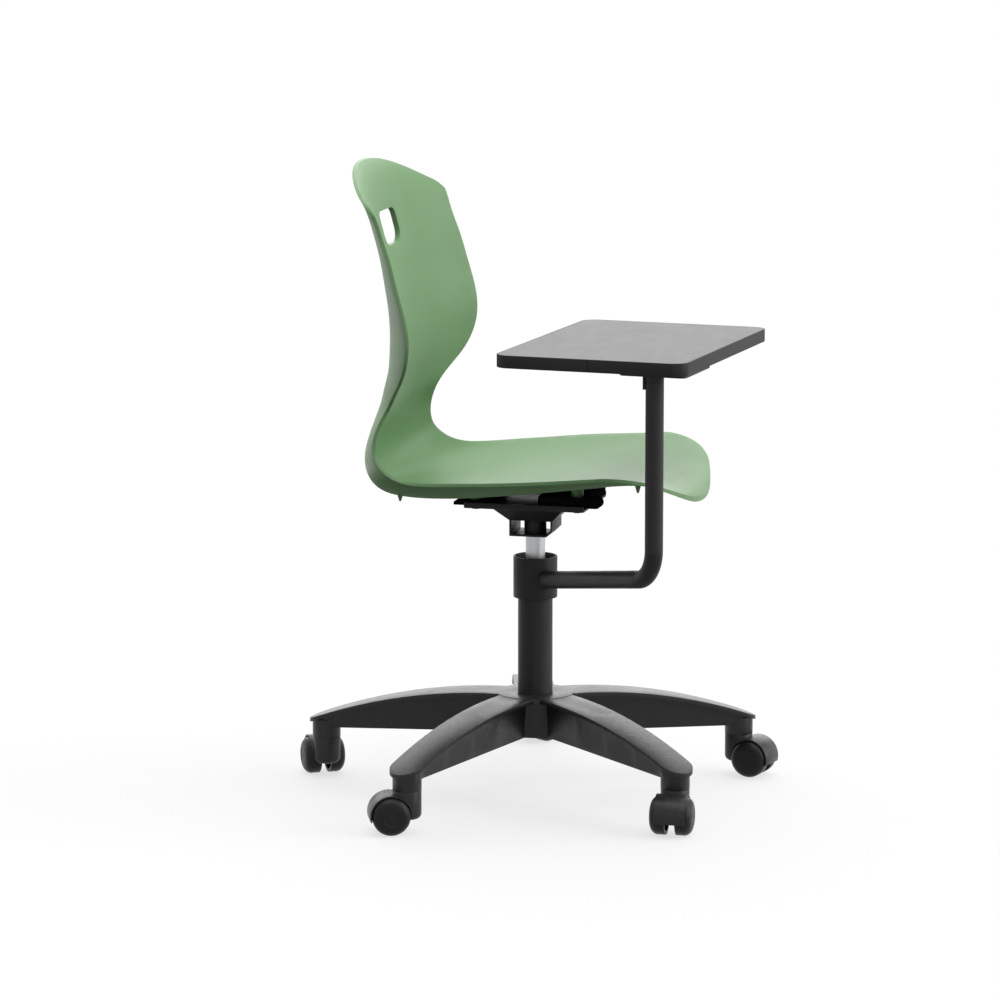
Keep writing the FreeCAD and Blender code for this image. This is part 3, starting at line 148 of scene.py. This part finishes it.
class Wire:
    """A shader value that + - and * work on."""

    def __init__(self, recipe, socket):
        self.recipe, self.socket = recipe, socket

    def maths(self, operation, *values):
        settings = {"operation": operation}
        return self.recipe.node("ShaderNodeMath", settings, dict(enumerate(values)))

    def __add__(self, other):
        return self.maths("ADD", self, other)

    def __radd__(self, other):
        return self.maths("ADD", other, self)

    def __sub__(self, other):
        return self.maths("SUBTRACT", self, other)

    def __rsub__(self, other):
        return self.maths("SUBTRACT", other, self)

    def __mul__(self, other):
        return self.maths("MULTIPLY", self, other)

    def __rmul__(self, other):
        return self.maths("MULTIPLY", other, self)

    def or_else(self, other):
        """The larger of two masks."""
        return self.maths("MAXIMUM", self, other)


class Recipe:
    """A node tree, with one short way to add nodes to it."""

    def __init__(self, tree, output):
        self.tree = tree
        self.tree.nodes.clear()
        self.out = self.tree.nodes.new(output)

    def node(self, kind, settings=None, inputs=None, output=0):
        """Adds a node, makes its settings, then fills its sockets with values or wires."""
        made = self.tree.nodes.new(kind)
        for name, value in (settings or {}).items():
            if name == "stops":
                for stop, (at, shade) in zip(made.color_ramp.elements, value):
                    stop.position, stop.color = at, (shade, shade, shade, 1)
            else:
                setattr(made, name, value)
        for name, value in (inputs or {}).items():
            self.fill(made.inputs[name], value)
        return Wire(self, made.outputs[output])

    def fill(self, socket, value):
        if isinstance(value, Wire):
            self.tree.links.new(value.socket, socket)
        else:
            socket.default_value = value

    def show(self, surface):
        """Sends a shader to the tree's output."""
        self.fill(self.out.inputs["Surface"], surface)

    def ray(self, kind):
        return self.node("ShaderNodeLightPath", output=f"Is {kind} Ray")

    def seen(self):
        """One for rays from the camera and by gloss or glass, and nought for those that light."""
        return self.ray("Camera").or_else(self.ray("Glossy")).or_else(self.ray("Transmission"))


class Finish(Recipe):
    """One material, with its shader and the patterns that feed it."""

    def __init__(self, name, **shader):
        self.material = bpy.data.materials.new(name)
        self.material.use_nodes = True
        super().__init__(self.material.node_tree, "ShaderNodeOutputMaterial")
        inputs = {socket.replace("_", " "): value for socket, value in shader.items()}
        self.solid = self.node("ShaderNodeBsdfPrincipled", None, inputs)
        self.sockets = self.solid.socket.node.inputs
        self.show(self.solid)
        self.place = self.node("ShaderNodeTexCoord", output="Object")

    def noise(self, scale, detail=3.0, roughness=0.5, along=None):
        place = along or self.place
        inputs = {"Vector": place, "Scale": scale, "Detail": detail, "Roughness": roughness}
        return self.node("ShaderNodeTexNoise", None, inputs)

    def lines(self, stretch, detail=3.0, roughness=0.6):
        """A noise drawn out into lines, each axis with a scale of its own."""
        along = self.node("ShaderNodeMapping", None, {"Vector": self.place, "Scale": stretch})
        return self.noise(1.0, detail, roughness, along)

    def cells(self, scale, output="Distance"):
        inputs = {"Vector": self.place, "Scale": scale}
        return self.node("ShaderNodeTexVoronoi", None, inputs, output)

    def ramp(self, value, low, high, top=1.0):
        """Nought up to low, then a climb to top at high."""
        stops = [(low, 0), (high, top)]
        return self.node("ShaderNodeValToRGB", {"stops": stops}, {"Fac": value})

    def blend(self, factor, first, second):
        """A colour between two colours."""
        settings = {"data_type": "RGBA"}
        inputs = {0: factor, 6: first, 7: second}
        return self.node("ShaderNodeMix", settings, inputs, 2)

    def edges(self):
        """White on outer edges and corners, black on flats."""
        point = self.node("ShaderNodeNewGeometry", output="Pointiness")
        return self.ramp(point, low=0.505, high=0.56)

    def slope(self):
        """One on surfaces that face straight up, minus one on those that face straight down."""
        normal = self.node("ShaderNodeNewGeometry", output="Normal")
        return self.node("ShaderNodeSeparateXYZ", None, {"Vector": normal}, "Z")

    def facing_up(self):
        """One on surfaces that face up, where dust settles, and nought on the rest."""
        return self.ramp(self.slope(), low=0.55, high=0.98)

    def facing_down(self):
        """One on surfaces that face down, and nought on the rest."""
        return self.ramp(-1.0 * self.slope(), low=0.3, high=0.6)

    def colour(self, value):
        self.fill(self.sockets["Base Color"], value)

    def roughness(self, value):
        self.fill(self.sockets["Roughness"], value)

    def relief(self, *layers):
        """Bumps, given as (depth in microns, height) from the coarsest to the finest."""
        normal = None
        for depth, height in layers:
            inputs = {"Height": height, "Distance": depth * MICRON, "Strength": 1.0}
            if normal:
                inputs["Normal"] = normal
            normal = self.node("ShaderNodeBump", None, inputs)
        self.fill(self.sockets["Normal"], normal)


def rgb(red, green, blue):
    """A colour written as it looks on a screen, from 0 to 255, and made linear."""
    toe, toe_slope, lift, power = 0.04045, 12.92, 0.055, 2.4
    shades = [value / 255 for value in (red, green, blue)]
    linear = [v / toe_slope if v <= toe else ((v + lift) / (1 + lift)) ** power for v in shades]
    return (*linear, 1)


def grey(shade):
    return rgb(shade, shade, shade)


# ---------------------------------------------------------------- finishes


def green_polypropylene():
    """Moulded shell: satin, with a fine spark grain, slow colour drift and rubbed patches.

    Its underside keeps the mould's coarser, duller skin.
    """
    f = Finish("green polypropylene", IOR=1.49, Specular_IOR_Level=0.27)
    drift = f.ramp(f.noise(scale=5.0, roughness=0.6), low=0.3, high=0.7)
    flecks = f.ramp(f.noise(scale=420.0, detail=2.0), low=0.62, high=0.8, top=0.25)
    body = f.blend(drift, rgb(115, 154, 106), rgb(122, 161, 113))
    f.colour(f.blend(flecks, body, rgb(136, 171, 127)))
    rubbed = f.ramp(f.noise(scale=7.0, detail=2.0), low=0.35, high=0.75)
    scuffs = f.lines((9.0, 60.0, 60.0), detail=6.0, roughness=0.65)
    scuffed = f.ramp(scuffs, low=0.6, high=0.78)
    f.roughness(0.37 + 0.07 * rubbed + 0.10 * scuffed + 0.4 * f.facing_down())
    swell = f.noise(scale=26.0, detail=1.0)
    grain = f.noise(scale=1500.0, detail=2.0, roughness=0.6)
    f.relief((250, swell), (60, grain))
    return f.material


def black_nylon(name, shade, gloss, drift_scale=14.0):
    """Glass filled nylon: near black, with an eroded grain, edges rubbed grey and dust on top."""
    f = Finish(name, IOR=1.5, Specular_IOR_Level=gloss)
    drift = f.ramp(f.noise(drift_scale, detail=4.0, roughness=0.6), low=0.3, high=0.75)
    rubbed = f.edges() * f.ramp(f.noise(scale=160.0), low=0.35, high=0.7)
    specks = f.noise(scale=260.0, detail=5.0, roughness=0.7)
    dust = f.facing_up() * f.ramp(specks, low=0.42, high=0.75)
    body = f.blend(drift, rgb(shade, shade, shade + 1), grey(shade + 5))
    body = f.blend(0.3 * rubbed, body, rgb(shade + 50, shade + 50, shade + 49))
    f.colour(f.blend(0.05 * dust, body, rgb(150, 148, 142)))
    f.roughness(0.36 + 0.02 * drift - 0.06 * rubbed)
    f.relief((60, f.cells(scale=900.0)), (40, f.noise(scale=2400.0, detail=2.0)))
    return f.material


def black_powder_coat():
    """Powder coated steel: an even orange peel, small bright scratches and worn edges."""
    f = Finish("black powder coat", IOR=1.5, Specular_IOR_Level=0.16)
    drift = f.ramp(f.noise(scale=18.0), low=0.3, high=0.7)
    hairs = f.ramp(f.lines((240.0, 240.0, 12.0), detail=4.0, roughness=0.7), low=0.7, high=0.76)
    scratches = hairs * f.ramp(f.noise(scale=22.0, detail=2.0), low=0.5, high=0.65)
    body = f.blend(drift, rgb(35, 35, 36), rgb(41, 41, 42))
    body = f.blend(0.3 * scratches, body, rgb(120, 120, 122))
    f.colour(f.blend(0.3 * f.edges(), body, rgb(92, 92, 94)))
    f.roughness(0.40 + 0.10 * drift + 0.15 * scratches)
    peel = f.noise(scale=520.0, detail=2.0, roughness=0.4)
    f.relief((60, peel), (30, -1.0 * scratches))
    return f.material


def plain_steel(name, colour, rough, stretch=(60.0, 60.0, 900.0)):
    """Turned or ground steel, with fine lines round it and faint oil stains."""
    f = Finish(name, Metallic=1.0)
    grind = f.lines(stretch)
    stain = f.ramp(f.noise(scale=60.0, detail=4.0), low=0.35, high=0.7)
    oiled = tuple(v * 0.72 for v in colour[:3]) + (1,)
    f.colour(f.blend(0.5 * grind + 0.3 * stain, colour, oiled))
    f.roughness(rough + 0.12 * grind + 0.08 * stain)
    f.relief((20, grind))
    return f.material


def satin_cylinder():
    """Plated gas cylinder: a pale even satin with fine turning rings."""
    f = Finish("satin plated steel", Metallic=0.55, IOR=1.6)
    rings = f.lines((30.0, 30.0, 1400.0))
    haze = f.ramp(f.noise(scale=50.0, detail=4.0), low=0.35, high=0.7)
    f.colour(f.blend(0.6 * rings + 0.2 * haze, rgb(222, 223, 225), rgb(196, 197, 200)))
    f.roughness(0.34 + 0.10 * rings)
    f.relief((20, rings))
    return f.material


def grey_laminate():
    """Writing surface: a dark textured laminate with fine speckle, pencil haze and wiping marks."""
    f = Finish("grey laminate", IOR=1.5, Specular_IOR_Level=0.21)
    speckle = f.ramp(f.noise(scale=1900.0, detail=2.0, roughness=0.7), low=0.4, high=0.62)
    haze = f.ramp(f.noise(scale=12.0, detail=4.0, roughness=0.6), low=0.35, high=0.7)
    wiped = f.ramp(f.lines((14.0, 70.0, 14.0), detail=5.0), low=0.45, high=0.7)
    body = f.blend(speckle, rgb(64, 64, 65), grey(74))
    f.colour(f.blend(0.07 * haze, body, rgb(92, 92, 91)))
    f.roughness(0.42 + 0.03 * haze - 0.02 * wiped)
    f.relief((50, f.cells(scale=1300.0)), (30, f.noise(scale=3000.0, detail=1.0)))
    return f.material


def black_edging():
    """Extruded edge strip: satin black with fine lines along it and grey knocks."""
    f = Finish("black edging", IOR=1.5, Specular_IOR_Level=0.14)
    lines = f.lines((12.0, 12.0, 1500.0))
    knocks = f.ramp(f.noise(scale=55.0, detail=4.0, roughness=0.7), low=0.66, high=0.74)
    body = f.blend(lines, rgb(26, 26, 27), rgb(36, 36, 37))
    f.colour(f.blend(0.4 * knocks + 0.25 * f.edges(), body, grey(95)))
    f.roughness(0.42 + 0.14 * lines)
    f.relief((40, lines))
    return f.material


def pressed_board():
    """Core of the tablet: brown pressed fibres."""
    f = Finish("pressed board", Roughness=0.85)
    fibres = f.lines((500.0, 500.0, 1500.0), detail=5.0, roughness=0.7)
    chips = f.ramp(f.cells(scale=420.0, output="Color"), low=0.3, high=0.8)
    body = f.blend(fibres, rgb(62, 47, 34), rgb(122, 96, 68))
    f.colour(f.blend(0.3 * chips, body, rgb(140, 114, 84)))
    f.relief((150, fibres))
    return f.material


def dull_rubber():
    """Buffer ring: matt rubber with a fine bloom."""
    f = Finish("dull rubber", Specular_IOR_Level=0.25)
    bloom = f.ramp(f.noise(scale=70.0, detail=5.0, roughness=0.7), low=0.4, high=0.75)
    f.colour(f.blend(0.5 * bloom, grey(28), rgb(62, 61, 60)))
    f.roughness(0.75 + 0.15 * bloom)
    f.relief((100, f.noise(scale=900.0)))
    return f.material


# The spacers' nylon is a darker, gloss-free copy of the black nylon. Its darker colour is painted
# shade, standing in for the shade that falls under the seat.
SHADED_MATT_NYLON = black_nylon("matt spacer nylon", shade=24, gloss=0.0)
FINISHES = {
    "shell_green": green_polypropylene(),
    "nylon_black": black_nylon("black nylon", shade=28, gloss=0.31),
    "castor_wheel": black_nylon("castor nylon", shade=25, gloss=0.2, drift_scale=28.0),
    "bush_plastic": black_nylon("bush plastic", shade=24, gloss=0.25, drift_scale=42.0),
    "grip_black": black_nylon("grip plastic", shade=29, gloss=0.25, drift_scale=28.0),
    "steel_black": black_powder_coat(),
    "steel_bright": plain_steel("ground steel", rgb(190, 190, 192), rough=0.26),
    "steel_dark": plain_steel("black oxide", rgb(62, 62, 64), rough=0.42, stretch=(300.0,) * 3),
    "cylinder_steel": satin_cylinder(),
    "rubber_black": dull_rubber(),
    "board_core": pressed_board(),
    "laminate_grey": grey_laminate(),
    "edge_black": black_edging(),
}

for part_name, slot_name in SLOT_OF.items():
    NODES[part_name].data.materials.clear()
    NODES[part_name].data.materials.append(FINISHES[slot_name])


# ---------------------------------------------------------------- modelling by hand


def drop_selection():
    bpy.ops.object.select_all(action="DESELECT")


def take(piece):
    """Makes one piece the only one picked and the one worked on."""
    drop_selection()
    piece.select_set(True)
    bpy.context.view_layer.objects.active = piece


def settle(piece):
    """Puts the piece's place into its mesh, so that its object sits at the origin."""
    take(piece)
    bpy.ops.object.transform_apply(location=True, rotation=True, scale=True)


def start_from(primitive, **settings):
    """A new primitive, alone in the selection, with its place in its mesh."""
    drop_selection()
    primitive(**settings)
    piece = bpy.context.active_object
    settle(piece)
    return piece


def finish_piece(piece, name, body, slot_name, look=None):
    """Names a piece, gives it its slot's finish or another, and lets it ride on its body."""
    piece.name = name
    settle(piece)
    piece.data.materials.clear()
    piece.data.materials.append(look or FINISHES[slot_name])
    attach(piece, body)
    return piece


def object_mode():
    bpy.ops.object.mode_set(mode="OBJECT")


def copied_node(node):
    """A copy of a CAD node's mesh, with its loose triangles merged and its flats made whole."""
    made = bpy.data.objects.new(node + "_copy", NODES[node].data.copy())
    bpy.context.scene.collection.objects.link(made)
    take(made)
    bpy.ops.object.mode_set(mode="EDIT")
    bpy.ops.mesh.customdata_custom_splitnormals_clear()
    bpy.ops.mesh.select_all(action="SELECT")
    bpy.ops.mesh.remove_doubles(threshold=SAME_POINT)
    bpy.ops.mesh.dissolve_limited(angle_limit=math.radians(FLAT_ANGLE))
    object_mode()
    return made


def soften(piece, width, segments=2, angle=SHARP_ANGLE):
    """Rounds the piece's sharp edges and shades it smooth."""
    take(piece)
    bevel = piece.modifiers.new("round", "BEVEL")
    bevel.width, bevel.segments = width, segments
    bevel.limit_method, bevel.angle_limit = "ANGLE", math.radians(angle)
    bpy.ops.object.modifier_apply(modifier=bevel.name)
    bpy.ops.object.shade_smooth_by_angle(angle=math.radians(angle))


def rounded_node(node, name, width, segments=2, angle=SHARP_ANGLE, look=None):
    """A CAD node's shape again, with its edges rounded as a mould or press leaves them."""
    piece = copied_node(node)
    soften(piece, width, segments, angle)
    finish_piece(piece, name, NODES[node]["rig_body"], SLOT_OF[node], look)
    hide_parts(node)


def shape_mode(piece):
    """Goes to edit mode on one piece with nothing picked, and gives its mesh."""
    take(piece)
    bpy.ops.object.mode_set(mode="EDIT")
    bpy.ops.mesh.select_all(action="DESELECT")
    return bmesh.from_edit_mesh(piece.data)


def throw_away(pattern):
    take(pattern)
    bpy.ops.object.delete()


def cut_away(piece, tool):
    """Cuts a tool's shape out of a piece, and throws the tool away."""
    take(piece)
    cut = piece.modifiers.new("cut", "BOOLEAN")
    cut.operation, cut.object, cut.solver = "DIFFERENCE", tool, "EXACT"
    bpy.ops.object.modifier_apply(modifier=cut.name)
    throw_away(tool)


def copy_to(pattern, place):
    """A copy of a pattern, with its own mesh, put where the matrix says."""
    made = pattern.copy()
    made.data = pattern.data.copy()
    bpy.context.scene.collection.objects.link(made)
    made.matrix_world = place
    settle(made)
    return made


def merge(pieces):
    """Joins pieces that are one moulding, or like pieces on one body, into the first."""
    take(pieces[0])
    for piece in pieces:
        piece.select_set(True)
    bpy.ops.object.join()
    return pieces[0]


def pointing(place, outward):
    """Where a pattern that stands on +Z goes, to stand along outward from a place."""
    turn = Vector(outward).to_track_quat("Z", "Y").to_matrix().to_4x4()
    return Matrix.Translation(place) @ turn


# ---------------------------------------------------------------- floor, light and camera


def floor():
    """A pale floor that looks white, takes the chair's shadow and throws little light back up."""
    piece = start_from(
        bpy.ops.mesh.primitive_plane_add, size=FLOOR_WIDTH, location=(0, 0, -FLOOR_DROP))
    piece.name = "floor"
    f = Finish("pale floor", Roughness=0.9, Specular_IOR_Level=0.0)
    seen = f.seen()
    pale = f.blend(f.noise(scale=300.0, detail=2.0), grey(FLOOR_PALE), grey(FLOOR_PALEST))
    f.colour(f.blend(seen, grey(FLOOR_BOUNCE), pale))
    glow = f.node("ShaderNodeEmission")
    inputs = {"Fac": seen * FLOOR_GLOW, 1: f.solid, 2: glow}
    f.show(f.node("ShaderNodeMixShader", None, inputs))
    piece.data.materials.append(f.material)


def world():
    """Soft light from all round, in front of a white backdrop."""
    made = bpy.data.worlds.new("studio")
    bpy.context.scene.world = made
    made.use_nodes = True
    w = Recipe(made.node_tree, "ShaderNodeOutputWorld")
    light = w.node("ShaderNodeBackground", None, {"Color": WHITE, "Strength": WORLD_LIGHT})
    white = w.node("ShaderNodeBackground", None, {"Color": WHITE, "Strength": WORLD_SEEN})
    w.show(w.node("ShaderNodeMixShader", None, {"Fac": w.seen(), 1: light, 2: white}))


def lamp(name, heading, height, softness, strength):
    """A wide soft light from far off, at a heading about Z and a height above the floor."""
    data = bpy.data.lights.new(name, "SUN")
    data.angle, data.energy = math.radians(softness), strength
    made = bpy.data.objects.new(name, data)
    made.rotation_euler = (0, math.radians(90 - height), math.radians(heading))
    bpy.context.scene.collection.objects.link(made)


def camera():
    data = bpy.data.cameras.new("photograph view")
    data.sensor_width, data.lens = SENSOR_WIDTH, CAMERA_LENS
    data.clip_start, data.clip_end = CAMERA_NEAR, CAMERA_FAR
    made = bpy.data.objects.new("photograph view", data)
    made.location = CAMERA_PLACE
    made.rotation_euler = [math.radians(v) for v in CAMERA_TURN]
    bpy.context.scene.collection.objects.link(made)
    bpy.context.scene.camera = made


camera()
world()
floor()
for lamp_row in LAMPS:
    lamp(*lamp_row)
bpy.context.scene.view_settings.view_transform = "Standard"


# ---------------------------------------------------------------- rounded mouldings and pressings

rounded_node("seat_shell", "shell_moulding", width=1.6 * MM, segments=3, angle=32)
rounded_node("base_star", "base_moulding", width=1.2 * MM, angle=40)
rounded_node("arm_collar", "collar_sleeve", width=0.9 * MM)
rounded_node("mechanism_housing", "channel_pressing", width=0.8 * MM)
rounded_node("seat_plate", "plate_pressing", width=0.8 * MM)
# The two spacers take the darker nylon copy, whose colour is painted shade.
rounded_node("front_spacer", "front_spacer_block", width=1.2 * MM, look=SHADED_MATT_NYLON)
rounded_node("rear_spacer", "rear_spacer_block", width=1.2 * MM, look=SHADED_MATT_NYLON)
rounded_node("tablet_plate", "tablet_plate_pressing", width=0.7 * MM)
rounded_node("tablet_stop", "tablet_stop_block", width=0.7 * MM)
rounded_node("lever_grip", "lever_handle", width=0.8 * MM)
for castor in CASTORS:
    rounded_node(f"castor_{castor}_housing", f"castor_{castor}_hood", width=0.9 * MM)
    for side in SIDES:
        wheel = f"castor_{castor}_wheel_{side}"
        rounded_node(wheel, f"{wheel}_tyre", width=0.8 * MM)


# ---------------------------------------------------------------- small pieces made from primitives


def wheel_caps():
    """A dished cap with a raised middle, pressed into each wheel's outer face."""
    pattern = start_from(
        bpy.ops.mesh.primitive_cylinder_add, vertices=64, radius=CAP_R, depth=CAP_THICK,
        location=(0, 0, CAP_PROUD - CAP_THICK / 2))
    mesh = shape_mode(pattern)
    for face in mesh.faces:
        face.select_set(face.normal.z > 0.9)
    bmesh.update_edit_mesh(pattern.data)
    for inward, up in CAP_STEPS:
        bpy.ops.mesh.inset(thickness=inward * MM, depth=up * MM)
    object_mode()
    soften(pattern, CAP_EDGE, angle=TURNED_ANGLE)
    for joint in frame["joints"]:
        for side in SIDES:
            if joint["child"].endswith(f"_wheel_{side}"):
                outward = Vector(joint["axis"]) * (1 if side == "left" else -1)
                place = Vector(joint["pos_m"]) + outward * CAP_REACH
                cap = copy_to(pattern, pointing(place, outward))
                finish_piece(cap, joint["child"] + "_cap", joint["child"], "castor_wheel")
    throw_away(pattern)


def edge_strip():
    """The strip round the tablet, with rounded edges and its ends meeting on the near side."""
    strip = copied_node("tablet_edge_band")
    low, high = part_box("tablet_edge_band")
    outward = Vector((-math.cos(TABLET_TURN), math.sin(TABLET_TURN), 0))
    gap = start_from(
        bpy.ops.mesh.primitive_cube_add, size=1, scale=(JOINT_DEEP, JOINT_GAP, JOINT_HIGH),
        location=(low + high) / 2 + outward * TABLET_LENGTH / 2, rotation=(0, 0, -TABLET_TURN))
    cut_away(strip, gap)
    soften(strip, STRIP_EDGE)
    finish_piece(strip, "tablet_edge_strip", "tablet", "edge_black")
    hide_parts("tablet_edge_band")


def shell_lugs():
    """Four short tapered lugs, moulded under the seat near its corners."""
    mesh = NODES["seat_shell"].data
    corners = [v.co for v in mesh.vertices]
    skin = BVHTree.FromPolygons(corners, [face.vertices for face in mesh.polygons])
    lugs = []
    for back, aside in LUG_PLACES:
        for across in (-aside, aside):
            under = skin.ray_cast(Vector((across, back, 0)), UP)[0]
            lug = start_from(
                bpy.ops.mesh.primitive_cone_add, vertices=32, radius1=LUG_TIP_R,
                radius2=LUG_ROOT_R, depth=LUG_HANG + LUG_SUNK,
                location=under + UP * (LUG_SUNK - LUG_HANG) / 2)
            soften(lug, LUG_EDGE, 3, TURNED_ANGLE)
            lugs.append(lug)
    finish_piece(merge(lugs), "shell_lugs", NODES["seat_shell"]["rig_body"], "shell_green")


def weld_bead():
    """The bead where the arm's tube meets its collar, rippled and bent to the collar's curve."""
    collar_low, collar_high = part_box("arm_collar")
    collar_r = (collar_high.x - collar_low.x) / 2
    tube = [v.co for v in NODES["arm_tube"].data.vertices]
    mouth = [co.z for co in tube if co.xy.length < collar_r + MOUTH_REACH]
    ring_r = (max(mouth) - min(mouth)) / 2 + BEAD_CLEAR
    ring = start_from(
        bpy.ops.mesh.primitive_torus_add, major_segments=BEAD_PARTS, minor_segments=BEAD_SIDES,
        major_radius=ring_r, minor_radius=BEAD_R, rotation=(math.radians(90), 0, 0))
    mesh = shape_mode(ring)
    for vertex in mesh.verts:
        step = round(math.atan2(vertex.co.z, vertex.co.x) / math.tau * BEAD_PARTS)
        vertex.select_set(step % 2 == 1)
    mesh.select_flush_mode()
    bmesh.update_edit_mesh(ring.data)
    bpy.ops.transform.shrink_fatten(value=BEAD_RIPPLE)
    object_mode()
    bend = ring.modifiers.new("wrap round the collar", "SIMPLE_DEFORM")
    bend.deform_method, bend.deform_axis = "BEND", "Z"
    bend.angle = 2 * (ring_r + BEAD_R) / collar_r
    bpy.ops.object.modifier_apply(modifier=bend.name)
    bpy.ops.object.shade_smooth()
    post_low, post_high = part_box("post_bush")
    outward = (post_low + post_high).xy.normalized()
    ring.location = (*(outward * collar_r), (max(mouth) + min(mouth)) / 2)
    ring.rotation_euler = (0, 0, math.atan2(outward.y, outward.x) + math.radians(90))
    finish_piece(ring, "weld_bead", "arm", "steel_black")


def lowest_middles(points, reach):
    """The middles of the lowest round faces among the points of several screws."""
    lowest = min(p.z for p in points)
    middles = []
    for p in (p for p in points if p.z < lowest + SAME_LEVEL):
        near = [m for m in middles if (m[0] / m[1] - p).length < reach]
        if near:
            near[0][0] += p
            near[0][1] += 1
        else:
            middles.append([p.copy(), 1])
    return [total / count for total, count in middles]


def socket_screws(node, name, head_r, head_high, socket_r, shank_r):
    """Screws whose round heads have a six-sided socket, in place of a node's plain ones."""
    pattern = start_from(
        bpy.ops.mesh.primitive_cylinder_add, vertices=48, radius=head_r, depth=head_high,
        location=DOWN * head_high / 2)
    soften(pattern, head_high * HEAD_ROUNDING, 3, TURNED_ANGLE)
    cut_away(pattern, start_from(
        bpy.ops.mesh.primitive_cylinder_add, vertices=6, radius=socket_r,
        depth=head_high * SOCKET_DEPTH))
    points = [v.co for v in NODES[node].data.vertices]
    screws = []
    for at in lowest_middles(points, HEADS_APART * head_r):
        length = max(p.z - at.z for p in points if (p - at).xy.length < head_r) - head_high
        shank = start_from(
            bpy.ops.mesh.primitive_cylinder_add, vertices=24, radius=shank_r, depth=length,
            location=at + UP * (head_high + length / 2))
        soften(shank, SHANK_EDGE, 1, TURNED_ANGLE)
        screws += [copy_to(pattern, pointing(at, DOWN)), shank]
    throw_away(pattern)
    screws = finish_piece(merge(screws), name, NODES[node]["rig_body"], SLOT_OF[node])
    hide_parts(node)


def lever_ridges():
    """Low finger ridges round the lever's handle."""
    low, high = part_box("lever_grip")
    middle, radius = (low + high) / 2, (high.z - low.z) / 2
    rings = []
    for share in RIDGE_SHARES:
        rings.append(start_from(
            bpy.ops.mesh.primitive_torus_add, major_segments=48, minor_segments=10,
            major_radius=radius - RIDGE_SUNK, minor_radius=RIDGE_R,
            location=(low.x + share * (high.x - low.x), middle.y, middle.z),
            rotation=(0, math.radians(90), 0)))
    ridges = merge(rings)
    take(ridges)
    bpy.ops.object.shade_smooth()
    finish_piece(ridges, "lever_ridges", "lever", "grip_black")


wheel_caps()
edge_strip()
shell_lugs()
weld_bead()
socket_screws(
    "seat_screws", "seat_socket_screws",
    head_r=6.5 * MM, head_high=3.6 * MM, socket_r=2.9 * MM, shank_r=3.0 * MM)
socket_screws(
    "tablet_screws", "tablet_socket_screws",
    head_r=4.2 * MM, head_high=2.4 * MM, socket_r=1.9 * MM, shank_r=2.2 * MM)
lever_ridges()
